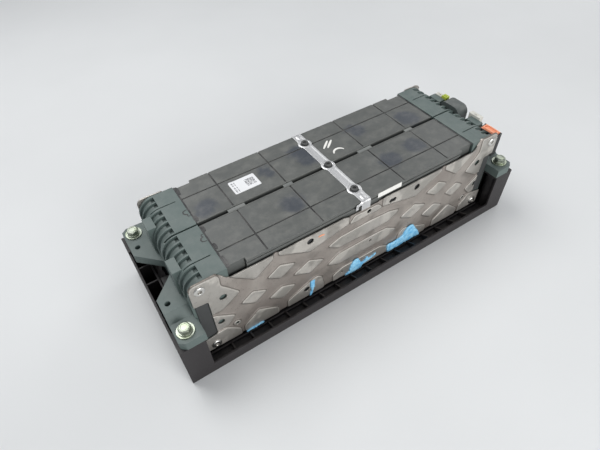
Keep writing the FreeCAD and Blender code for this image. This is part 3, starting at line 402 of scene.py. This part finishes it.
def distance_inside(points, outline):
    """Signed distance of each point from a closed outline: positive inside."""
    nearest = np.full(len(points), 1e9)
    inside = np.zeros(len(points), bool)
    for (ax, ay), (bx, by) in zip(outline, outline[1:] + outline[:1]):
        run = np.array((bx - ax, by - ay))
        share = np.clip(((points - (ax, ay)) @ run) / max(run @ run, 1e-12), 0.0, 1.0)
        gap = points - (np.array((ax, ay)) + share[:, None] * run)
        nearest = np.minimum(nearest, np.hypot(gap[:, 0], gap[:, 1]))
        crosses = (ay > points[:, 1]) != (by > points[:, 1])
        slope = (bx - ax) / (by - ay) if by != ay else 0.0
        inside ^= crosses & (points[:, 0] < ax + (points[:, 1] - ay) * slope)
    return np.where(inside, nearest, -nearest)


def nearest_edge(point, outline, holes):
    """The nearest point on a closed outline or on the rim of a round hole."""
    spots = []
    for (ax, ay), (bx, by) in zip(outline, outline[1:] + outline[:1]):
        start, run = Vector((ax, ay)), Vector((bx - ax, by - ay))
        share = max(0.0, min(1.0, (point - start).dot(run) / max(run.dot(run), 1e-12)))
        spots.append(start + run * share)
    for x, y, radius in holes:
        middle = Vector((x, y))
        spots.append(middle + (point - middle).normalized() * radius)
    return min(spots, key=lambda spot: (spot - point).length)


def smooth(value):
    """A soft step from 0 to 1."""
    value = np.clip(value, 0.0, 1.0)
    return value * value * (3.0 - 2.0 * value)


def sheet_mesh(outline, holes, step, relief, place, thick=None):
    """A pressed sheet: a grid trimmed to an outline and round holes, lifted by a relief and closed behind.

    Lengths are millimetres in the sheet's own plane; place turns u, v and height into metres.
    With no thickness the back is flat, as on a poured bead.
    """
    flat = np.array(outline)
    low, high = flat.min(0) - step, flat.max(0) + step
    count_u, count_v = (int(n) + 2 for n in (high - low) / step)
    grid = np.stack(np.meshgrid(low[0] + step * np.arange(count_u), low[1] + step * np.arange(count_v),
                                indexing="ij"), -1).reshape(-1, 2)
    room = distance_inside(grid, outline)
    for x, y, radius in holes:
        room = np.minimum(room, np.hypot(grid[:, 0] - x, grid[:, 1] - y) - radius)
    kept = room > -0.45 * step
    quads = []
    for i in range(count_u - 1):
        for j in range(count_v - 1):
            first = i * count_v + j
            corners = (first, first + count_v, first + count_v + 1, first + 1)
            if all(kept[corner] for corner in corners):
                quads.append(corners)
    sides = dict.fromkeys(side for quad in quads for side in zip(quad, quad[1:] + quad[:1]))
    rim = [(start, end) for start, end in sides if (end, start) not in sides]
    for index in {start for start, end in rim}:
        grid[index] = nearest_edge(Vector(grid[index]), outline, holes)
    lift = relief(grid)
    used = sorted({corner for quad in quads for corner in quad})
    number = dict(zip(used, range(len(used))))
    front = [place(*grid[corner], lift[corner]) for corner in used]
    back = [place(*grid[corner], lift[corner] - thick if thick else 0.0) for corner in used]
    half = len(used)
    faces = [tuple(number[corner] for corner in quad) for quad in quads]
    faces += [tuple(number[corner] + half for corner in reversed(quad)) for quad in quads]
    for start, end in ((number[start], number[end]) for start, end in rim):
        faces.append((end, start, start + half, end + half))
    return front + back, faces, [float(lift[corner]) for corner in used] * 2


def round_edges(item, width):
    """Rounds the sharp edges of a new piece; the width is in millimetres."""
    bevel = item.modifiers.new("bevel", "BEVEL")
    bevel.width = width * MM
    bevel.segments = 2
    bevel.limit_method = "ANGLE"


def slab(name, outline, low, high, slot, edge):
    """A thin flat piece on a plan outline, with its edges rounded."""
    count = len(outline)
    vertices = [(x * MM, y * MM, z * MM) for z in (low, high) for x, y in outline]
    faces = [tuple(reversed(range(count))), tuple(range(count, 2 * count))]
    faces += [(i, (i + 1) % count, (i + 1) % count + count, i + count) for i in range(count)]
    round_edges(new_piece(name, vertices, faces, slot), edge)


def arc(x, y, radius, start, end, steps):
    """Points on a circular arc, by angles in degrees."""
    angles = [math.radians(start + (end - start) * i / steps) for i in range(steps + 1)]
    return [(x + radius * math.cos(angle), y + radius * math.sin(angle)) for angle in angles]


def shade_smooth(item, angle):
    """Smooth shading with the sharp edges kept."""
    item.data.polygons.foreach_set("use_smooth", [True] * len(item.data.polygons))
    item.data.set_sharp_from_angle(angle=math.radians(angle))


def rough(x, y, size, seed):
    """A cloud value near zero at a place in millimetres."""
    return noise.noise(Vector((x / size, y / size, seed)))


# ---- Side plates ----
PLATE_FACE = -corners_mm("side_plate_front")[0].y - 0.7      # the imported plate's beads stand 0.7 proud of it
PLATE_CENTRE = 2.4        # the pressing is this far off the middle
PLATE_SWELL = 1.3         # height of the raised zones
PLATE_SHEET = 1.4         # thickness
PLATE_MESH = 1.25         # spacing of the grid
PAD_BLUR = 2.2            # how far the corners of the zones are blunted
BACK_TRIM = 1.8           # how much lower the back plate ends
NOTCH_SIDE = 198.5        # along X, where the notches in the ends stop
NOTCH_FOOT = 36.0
NOTCH_HEAD = 99.0
LEFT_PADS = [  # outlines in x and z of the raised zones left of the middle
    [(-131, 86.4), (-114.3, 97), (-95, 87.5), (-114.3, 74.5)],
    [(-166, 66.4), (-150, 77), (-133, 67), (-148.6, 54.5)],
    [(-98.5, 67), (-77, 78.5), (-56, 66.4), (-76.4, 54.5)],
    [(-132, 47.9), (-115, 58), (-96, 47.9), (-113.6, 34.5)],
    [(-167, 21.4), (-146.4, 38.6), (-121.4, 21.4), (-121.4, 9), (-167, 9)],
    [(-108.6, 20), (-108, 22.5), (-71.4, 39.5), (-65, 40), (-58.6, 34.5), (-55.7, 18), (-55.7, 9),
     (-108.6, 9)],
    [(-114.3, 114.3), (-75.7, 93.6), (-22, 106), (-22, 140), (-114.3, 140)],
    [(-172.9, 122), (-144.3, 95.7), (-121, 113), (-121, 140), (-172.9, 140)],
    [(-230, 140), (-181, 140), (-182, 113), (-163.6, 89.3), (-187, 73.6), (-230, 73.6)],
    [(-230, 69.5), (-195.7, 69.3), (-174.3, 53), (-185.7, 40), (-230, 40)],
    [(-230, 37), (-186.4, 37), (-172, 22), (-172, 9), (-230, 9)],
]
CENTRE_PADS = [  # and of those over the middle
    [(-51, 84.3), (-34.3, 90.7), (2.4, 92), (39.1, 90.7), (55.8, 84.3), (40.5, 73), (2.4, 72), (-35.7, 73)],
    [(-51, 50), (-34.3, 61.4), (39.1, 61.4), (55.8, 50), (39.1, 41.4), (-34.3, 41.4)],
    [(-42, 9), (-42, 22), (-28, 29.5), (33, 29.5), (47, 22), (47, 9)],
    [(-21, 106), (-14, 114), (19, 114), (26, 106), (26, 104), (-21, 104)],
]
PLATE_HOLES = [  # x, z and radius
    (-182.6, 95, 4.3), (187.6, 95.3, 4.3), (-191.4, 54.6, 4.0), (197, 54.7, 4.0), (-74.7, 110.4, 4.3),
    (79.3, 109.6, 4.3), (-81.4, 25.7, 4.0), (86, 25.7, 4.0), (-174.6, 36.1, 2.6), (179.4, 36.5, 2.6),
    (6.1, 110.5, 3.0), (39.6, 108.3, 3.2), (44.2, 108.3, 3.2), (13.6, 54.7, 1.8), (-28.6, 21.4, 1.8),
]


def plate_outline(trim=0.0):
    """Outline of a side plate in x and z: rounded top corners, a dipped top and notched ends."""
    low, high = corners_mm("side_plate_front")
    reach, foot, top = high.x, low.z, high.z - trim
    middle, dip, corner = 119.4, 116.2, 7.0      # two heights of the top edge, and the corners' radius
    right = [(reach, foot), (reach, NOTCH_FOOT - 2), (NOTCH_SIDE + 1.5, NOTCH_FOOT)]
    right += [(NOTCH_SIDE, NOTCH_FOOT + 2), (NOTCH_SIDE, NOTCH_HEAD - 2)]
    right += [(NOTCH_SIDE + 1.5, NOTCH_HEAD), (reach, NOTCH_HEAD + 1.7)]
    right += arc(reach - corner, top - corner, corner, 0, 90, 6)
    right += [(184, top), (174, middle + 1), (172, middle), (30, middle), (20, dip)]
    left = [(-x, z) for x, z in reversed(right)]
    return right + left


def pad_height(grid):
    """Height of the raised zones over the bands between them, in millimetres."""
    mirrored = [[(2 * PLATE_CENTRE - x, z) for x, z in pad] for pad in LEFT_PADS]
    shifts = [(0, 0), (PAD_BLUR, 0), (-PAD_BLUR, 0), (0, PAD_BLUR), (0, -PAD_BLUR)]
    height = np.zeros(len(grid))
    for pad in LEFT_PADS + mirrored + CENTRE_PADS:
        spread = [distance_inside(grid + shift, pad) for shift in shifts]
        height = np.maximum(height, smooth((np.mean(spread, axis=0) + 1.5) / 2.2))
    for x, z, radius in PLATE_HOLES:
        ring = np.hypot(grid[:, 0] - x, grid[:, 1] - z) - radius
        height = np.maximum(height, 0.8 * smooth(1.0 - (ring - 1.2) / 1.8))
    edge = distance_inside(grid, plate_outline())
    height = np.where(grid[:, 1] < 125, height, height - 0.6 * smooth(1.0 - edge / 2.5))
    ripple = np.array([rough(x, z, 24.0, 5.0) * 0.35 + rough(x, z, 8.0, 9.0) * 0.1 for x, z in grid])
    return height * PLATE_SWELL + ripple


def side_plate(name, side):
    """A pressed and coated side plate, with raised lozenges between sunken bands and rimmed holes."""
    def place(x, z, lift):
        return (x * MM, side * (PLATE_FACE + lift) * MM, z * MM)

    outline = plate_outline(0.0 if side < 0 else BACK_TRIM)
    vertices, faces, lifts = sheet_mesh(outline, PLATE_HOLES, PLATE_MESH, pad_height, place, PLATE_SHEET)
    if side > 0:
        faces = [tuple(reversed(face)) for face in faces]
    item = new_piece(name + "_pressed", vertices, faces, "coated_plate", [name])
    relief = item.data.attributes.new("relief", "FLOAT", "POINT")
    relief.data.foreach_set("value", [lift / PLATE_SWELL for lift in lifts])
    shade_smooth(item, 45.0)


# ---- Beads of filler ----
FILLER_FACE = PLATE_FACE + 1.25      # where the beads begin, near the tops of the pressed zones
BEAD_HEIGHT = 1.75
BEAD_EDGE = 2.4                      # width of a bead's round edge
FILLER = [  # outlines in x and z
    [(44, 23), (48, 25), (55, 24), (63, 25), (70, 27), (73, 33), (76, 38), (81, 40), (87, 39), (91, 33),
     (95, 26), (99, 21), (102, 15), (104.5, 8.6), (97, 8.2), (90, 10), (82, 8.4), (74, 9.6), (66, 8.3),
     (58, 9.5), (50, 8.2), (46, 9), (45, 15)],
    [(-24, 8.3), (-22, 12.5), (-17.5, 14), (-16, 23), (-12, 30), (-8, 32.5), (-3, 31), (-0.5, 25), (1.5, 20),
     (5, 18.5), (8, 21), (10.5, 24.5), (13, 23), (14, 19.5), (18, 19), (23, 22), (26.6, 22.4), (26.8, 20),
     (21, 16.8), (15, 15), (9, 14), (4, 12.5), (1, 8.4), (-8, 8.2)],
    [(-76.4, 37), (-73, 37.8), (-69.6, 36.5), (-70.4, 30), (-69.8, 25), (-71.8, 19), (-73.6, 14), (-76, 9),
     (-78, 8.3), (-77.6, 14), (-75.6, 20), (-76.8, 28)],
    [(-167, 9.6), (-161, 11.6), (-152, 11.4), (-146, 12.2), (-142.2, 10), (-143, 8.2), (-155, 8.4),
     (-166, 8.2)],
]


def bead(outline, seed):
    """Vertices and faces of one lumpy bead with round edges."""
    def swell(grid):
        inside = np.clip(distance_inside(grid, outline), 0.0, 9.0)
        inside = np.clip(inside + np.array([rough(x, z, 3.2, seed + 4) for x, z in grid]) * 1.5, 0.0, 9.0)
        crown = np.sqrt(np.clip(1.0 - (1.0 - np.minimum(inside / BEAD_EDGE, 1.0)) ** 2, 0.0, 1.0))
        lumps = np.array([rough(x, z, 7.0, seed) * 0.6 + rough(x, z, 2.6, seed) * 0.25 for x, z in grid])
        return crown * (BEAD_HEIGHT + lumps) + 0.05

    def place(x, z, lift):
        return (x * MM, -(FILLER_FACE + lift) * MM, z * MM)

    return sheet_mesh(outline, [], FINE_MESH, swell, place)[:2]


def filler_beads():
    """Blue filler squeezed out at the foot of the front plate."""
    vertices, faces = [], []
    for seed, outline in enumerate(FILLER):
        more, sides = bead(outline, seed)
        faces += [tuple(index + len(vertices) for index in face) for face in sides]
        vertices += more
    shade_smooth(new_piece("filler_lumps", vertices, faces, "gap_filler", ["gap_filler"]), 60.0)


# ---- Things on the covers ----
def rounded_box(x0, x1, y0, y1, radius):
    """Plan outline of a rectangle with round corners."""
    left, right, near, far = x0 + radius, x1 - radius, y0 + radius, y1 - radius
    points = arc(right, far, radius, 0, 90, 4) + arc(left, far, radius, 90, 180, 4)
    return points + arc(left, near, radius, 180, 270, 4) + arc(right, near, radius, 270, 360, 4)


def stuck_label():
    """The label, with round corners and one corner that has begun to lift."""
    low, high = corners_mm("label")
    outline = rounded_box(low.x, high.x, low.y, high.y, 1.6)

    def lifted(grid):
        away = np.hypot(grid[:, 0] - low.x, grid[:, 1] - high.y)
        return (high.z - low.z) + 0.6 * smooth(1.0 - away / 7.0)

    def place(x, y, lift):
        return (x * MM, y * MM, (low.z + lift) * MM)

    vertices, faces, _ = sheet_mesh(outline, [], 1.0, lifted, place, high.z - low.z)
    shade_smooth(new_piece("label_sheet", vertices, faces, "label_paper", ["label"]), 40.0)


def paint_stroke(name, points, width, height, slot, face_up=True):
    """A thin stroke that narrows at its ends, on top or, with face_up off, on the front plate."""
    vertices, faces = [], []
    last = len(points) - 1
    for index, point in enumerate(points):
        here = Vector(point)
        run = (Vector(points[min(index + 1, last)]) - Vector(points[max(index - 1, 0)])).normalized()
        half = 0.5 * width * (0.45 + 0.55 * math.sin(math.pi * (index + 0.5) / (last + 1)))
        for side in (-1, 1):
            spot = here + Vector((-run.y, run.x)) * half * side
            for lift in (0.0, PAINT_FILM):
                place = (spot.x, spot.y, height + lift) if face_up else (spot.x, -(height + lift), spot.y)
                vertices.append(tuple(length * MM for length in place))
    for index in range(last):
        near = 4 * index
        far = near + 4
        faces += [(near + 1, far + 1, far + 3, near + 3), (near, near + 2, far + 2, far)]
        faces += [(near, far, far + 1, near + 1), (near + 2, near + 3, far + 3, far + 2)]
    end = 4 * last
    faces += [(0, 1, 3, 2), (end, end + 2, end + 3, end + 1)]
    new_piece(name, vertices, faces, slot)


def paint_marks():
    """Generic inspection marks: an arc and two dashes on the back cover, and an orange dab on the front."""
    height = COVER_TOP + 0.02
    paint_stroke("paint_arc", arc(27, 12, 8, 20, 165, 12), 3.0, height, "white_tape")
    for number, shift in enumerate((0.0, 5.0)):
        dash = [(14 + shift + 2.6 * step, 29 - 0.3 * shift + 2.2 * step) for step in range(6)]
        paint_stroke("paint_dash_%d" % (number + 1), dash, 3.0, height, "white_tape")
    dab = [(-64.5, 111.2), (-62, 111.8), (-59, 111.4), (-56.5, 110.6)]
    paint_stroke("paint_dab", dab, 2.2, PLATE_FACE + PLATE_SWELL + 0.15, "cap_orange",
                 face_up=False)


def cover_hooks():
    """Small bent hooks that reach from the covers onto the left end plate."""
    start = corners_mm("end_plate_left")[1].x
    bends = [(0.4, -5.6), (2.4, -5.8), (3.2, -4.0), (2.2, -2.4), (4.6, -1.4), (6.0, 1.0), (5.4, 3.4),
             (3.0, 4.6), (0.4, 4.8)]
    for number, (y, turn) in enumerate(((22.0, 1), (-22.0, -1))):
        points = [(start - back, y + turn * across) for back, across in bends]
        paint_stroke("cover_hook_%d" % (number + 1), points, 1.7, END_TOP + 0.02, "dark_plastic")


def strap():
    """Pressed aluminium strap: rims round its three eyes, a channel between them, bent ends and a hook."""
    low, high = corners_mm("centre_strap")
    middle, top, bend = 0.5 * (low.x + high.x), high.z, high.y
    thick, sunk = 0.9, 1.1       # of the sheet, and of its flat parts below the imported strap's top
    half, waist = 6.1, 9.5       # half the width, which is kept from this distance off an eye's middle
    eye, hole = 8.7, 5.0         # outer and inner radius of an eye
    radius = 3.2                 # of the bends at its ends
    flat = bend - radius
    curve = 0.5 * math.pi * radius
    reach = flat + curve + (top - radius - low.z)
    holes = [(0.0, y, hole) for y in EYE_PLACES]
    outline = [(half, -reach)]
    for y in EYE_PLACES:
        outline += [(half, y - waist)] + arc(0.0, y, eye, -42, 42, 8) + [(half, y + waist)]
    outline += [(half, reach), (-half, reach)]
    for y in reversed(EYE_PLACES):
        outline += [(-half, y + waist)] + arc(0.0, y, eye, 138, 222, 8) + [(-half, y - waist)]
    hook = [(-half, 1.0), (-9.5, 3.5), (-13.5, 4.5), (-14.0, 12.0), (-10.5, 12.5), (-10.5, 8.0), (-half, 7.0)]
    outline += [(x, -flat - down) for x, down in hook] + [(-half, -reach)]

    def ridges(grid):
        """A low edge along both sides, a rim round each eye and a boss near each end."""
        across = np.abs(grid[:, 0])
        height = 0.32 * smooth((across - 2.6) / 1.8) * smooth((half + 1.0 - across) / 1.0)
        for y in EYE_PLACES:
            away = np.hypot(grid[:, 0], grid[:, 1] - y)
            height = np.where(away < 9.4, 0.6 * smooth(1.0 - np.abs(away - 6.9) / 2.0), height)
        boss = np.hypot(grid[:, 0], (np.abs(grid[:, 1]) - 66.5) / 1.5)
        return np.maximum(height, 0.8 * smooth((3.4 - boss) / 1.4))

    def place(x, run, lift):
        """Folds the flat strip over the covers' outer edges."""
        side, past = (1 if run > 0 else -1), abs(run) - flat
        if past <= 0:
            spot = (run, top - sunk + lift)
        elif past <= curve:
            turn = past / radius
            out = radius + lift - sunk
            spot = (side * (flat + out * math.sin(turn)), top - radius + out * math.cos(turn))
        else:
            spot = (side * (bend - sunk + lift), top - radius - (past - curve))
        return ((middle + x) * MM, spot[0] * MM, spot[1] * MM)

    vertices, faces, _ = sheet_mesh(outline, holes, FINE_MESH, ridges, place, thick)
    shade_smooth(new_piece("strap_pressed", vertices, faces, "strap_aluminium", ["centre_strap"]), 50.0)


def cover_lips():
    """Raised lips along the covers' inner edges, and small dark crescents of painted shade in the recesses at
    their left ends.
    """
    base = COVER_TOP - 0.1
    for side, name in ROWS:
        near, far = sorted((side * 2.9, side * 4.3))
        slab("cover_lip_" + name, [(-150, near), (150, near), (150, far), (-150, far)], base, base + 0.5,
             "cover_plastic", 0.2)
    # Painted shade: thin dark crescents where the covers' left ends are recessed.
    shade_crescents = [(54.3, 68.6), (-13.0, -3.0), (-70.0, -53.0), (5.0, 14.0), (-42.0, -33.0)]
    for number, (start, end) in enumerate(shade_crescents):
        bow = [(-169.0, start), (-168.0, start)]
        for share in (step / 6 for step in range(7)):
            bow.append((-166.9 + 1.1 * math.sin(math.pi * share), start + (end - start) * share))
        bow += [(-168.0, end), (-169.0, end)]
        slab("joint_stop_%d" % (number + 1), bow, base, base + 0.45, "dark_plastic", 0.15)


def painted_joint_shade():
    """Dark wavy strips of painted shade in the joints between the covers and the end plates."""
    for end, name in ENDS:
        for side, row in ROWS:
            inner, outer = [], []
            for step in range(41):
                y = side * (4.0 + 65.5 * step / 40)
                wave = 0.45 * math.sin(step * 0.9) + 0.35 * math.sin(step * 2.3 + end)
                inner.append((end * (168.9 + 0.4 * wave), y))
                outer.append((end * (170.9 + 0.2 * wave), y))
            outline = inner + outer[::-1]
            if end * side > 0:
                outline.reverse()
            base = COVER_TOP - 0.3
            # Painted shade: a dark film where the joint lies in shadow.
            slab("end_joint_%s_%s" % (name, row), outline, base, base + 0.5, "dark_plastic", 0.1)


def painted_groove_shade():
    """Dark strips of painted shade in the bottoms of the grooves that divide the covers into fields."""
    floor, half = COVER_TOP - 0.92, 0.95      # height of the bottoms, and half the width of a groove
    across = (-125.5, -57.0, 57.0, 125.5)     # along X, of the short grooves
    along = 46.0                              # from the middle, of the long ones
    # Painted shade: thin dark slabs where the grooves' bottoms lie in shadow.
    for side, name in ROWS:
        for number, x in enumerate(across):
            near, far = sorted((side * 3.6, side * 70.4))
            field = [(x - half, near), (x + half, near), (x + half, far), (x - half, far)]
            slab("groove_%s_%d" % (name, number + 1), field, floor, floor + 0.32, "dark_plastic", 0.05)
        y = side * along
        field = [(-167, y - half), (167, y - half), (167, y + half), (-167, y + half)]
        slab("groove_%s_long" % name, field, floor, floor + 0.27, "dark_plastic", 0.05)


def painted_notch_shade():
    """Dark sheets of painted shade that show through the notches in the side plates, where the gap behind them
    lies in shadow.
    """
    inside, outside = 70.6, 71.8      # distances of their two faces from the middle, along Y
    for end, end_name in ENDS:
        for side, row in ROWS:
            near, far = sorted((end * (NOTCH_SIDE + 0.5), end * 212.6))
            outline = rounded_box(near, far, NOTCH_FOOT + 1.0, NOTCH_HEAD - 0.5, 2.0)
            count = len(outline)
            vertices = [(x * MM, side * y * MM, z * MM) for y in (inside, outside) for x, z in outline]
            faces = [tuple(range(count)), tuple(reversed(range(count, 2 * count)))]
            faces += [(i + count, (i + 1) % count + count, (i + 1) % count, i) for i in range(count)]
            if side < 0:
                faces = [tuple(reversed(face)) for face in faces]
            # Painted shade: a dark sheet in the gap between the plate and the post.
            name = "notch_pad_%s_%s" % (end_name, row)
            round_edges(new_piece(name, vertices, faces, "stud_rubber"), 0.5)


def raised_rim(name, outer, inner, base, height, slot, body=MODULE):
    """A low rim between two plan outlines that have the same number of points."""
    count = len(outer)
    levels = [(outer, base), (outer, base + height), (inner, base + height), (inner, base)]
    vertices = [(x * MM, y * MM, z * MM) for outline, z in levels for x, y in outline]
    faces = []
    for level in range(4):
        for i in range(count):
            j, above = (i + 1) % count, (level + 1) % 4
            faces.append((i + level * count, j + level * count, j + above * count, i + above * count))
    round_edges(new_piece(name, vertices, faces, slot, body=body), 0.25)


def rims():
    """The rim with round corners on the orange cap, and the rings of the dished bolt heads."""
    low, high = corners_mm("terminal_cap")
    outer = rounded_box(low.x + 0.5, high.x - 1.6, low.y + 0.8, high.y - 0.8, 3.0)
    inner = rounded_box(low.x + 2.0, high.x - 3.1, low.y + 2.3, high.y - 2.3, 1.9)
    raised_rim("cap_rim", outer, inner, high.z - 0.2, 0.9, "cap_orange", "cap")
    reach = corners_mm("mount_washers")[1]
    washer_radius = 9.6
    top = corners_mm("mount_bolts")[1].z
    for number, (end, side) in enumerate(((-1, -1), (-1, 1), (1, -1), (1, 1))):
        x, y = end * (reach.x - washer_radius), side * (reach.y - washer_radius)
        outer, inner = (arc(x, y, radius, 0, 345, 23) for radius in (5.0, 3.6))
        raised_rim("bolt_ring_%d" % (number + 1), outer, inner, top - 0.1, 0.6, "zinc_steel")


# ---- Stage ----
def camera():
    """The view from the front left and above."""
    data = bpy.data.cameras.new("camera")
    data.lens = 26.9
    data.sensor_width = 36.0
    data.clip_start = 0.01
    item = bpy.data.objects.new("camera", data)
    right = Vector((0.8383, -0.5444, -0.0289))
    up = Vector((0.4184, 0.6085, 0.6742))
    ahead = Vector((0.3495, 0.5773, -0.7380))
    turn = Matrix((right, up, -ahead)).transposed()
    item.matrix_world = Matrix.Translation((-0.2461, -0.3355, 0.4803)) @ turn.to_4x4()
    bpy.context.scene.collection.objects.link(item)
    bpy.context.scene.camera = item


def lamp(name, place, size, power):
    """A square soft light that looks at the module."""
    data = bpy.data.lights.new(name, "AREA")
    data.energy = power
    data.size = size
    item = bpy.data.objects.new(name, data)
    item.location = place
    item.rotation_euler = (Vector((0.0, 0.0, 0.06)) - Vector(place)).to_track_quat("-Z", "Y").to_euler()
    bpy.context.scene.collection.objects.link(item)


def stage():
    """A pale matt floor, three soft lights and a pale sky."""
    mesh = bpy.data.meshes.new("floor")
    reach = 14.0
    corners = [(-reach, -reach, 0), (reach, -reach, 0), (reach, reach, 0), (-reach, reach, 0)]
    mesh.from_pydata(corners, [], [(0, 1, 2, 3)])
    floor = bpy.data.objects.new("floor", mesh)
    bpy.context.scene.collection.objects.link(floor)
    floor.location.z = CAD_BOX[0][2]
    net = Net("floor_finish")
    tone = net.mix(net.noise(3.0, 3.0), rgb(0.66, 0.67, 0.67), rgb(0.74, 0.75, 0.75))
    net.bump((net.noise(300.0), 0.0001))
    mesh.materials.append(net.done(base_color=tone, roughness=0.6 + net.noise(20.0) * 0.1))
    lamp("main_light", (-0.4, 0.7, 1.4), 0.9, 15.0)
    lamp("front_light", (0.2, -1.6, 0.7), 1.0, 20.0)
    lamp("side_light", (1.5, 0.5, 0.8), 1.0, 5.0)
    world = bpy.data.worlds.new("world")
    world.use_nodes = True
    sky = world.node_tree.nodes["Background"]
    sky.inputs["Color"].default_value = rgb(0.92, 0.95, 1.0)
    sky.inputs["Strength"].default_value = 0.36
    bpy.context.scene.world = world
    bpy.context.scene.view_settings.view_transform = "Standard"


dress_nodes()
for row_side, row_name in ROWS:
    side_plate("side_plate_" + row_name, row_side)
filler_beads()
stuck_label()
strap()
cover_lips()
painted_groove_shade()
painted_joint_shade()
painted_notch_shade()
rims()
paint_marks()
cover_hooks()
camera()
stage()
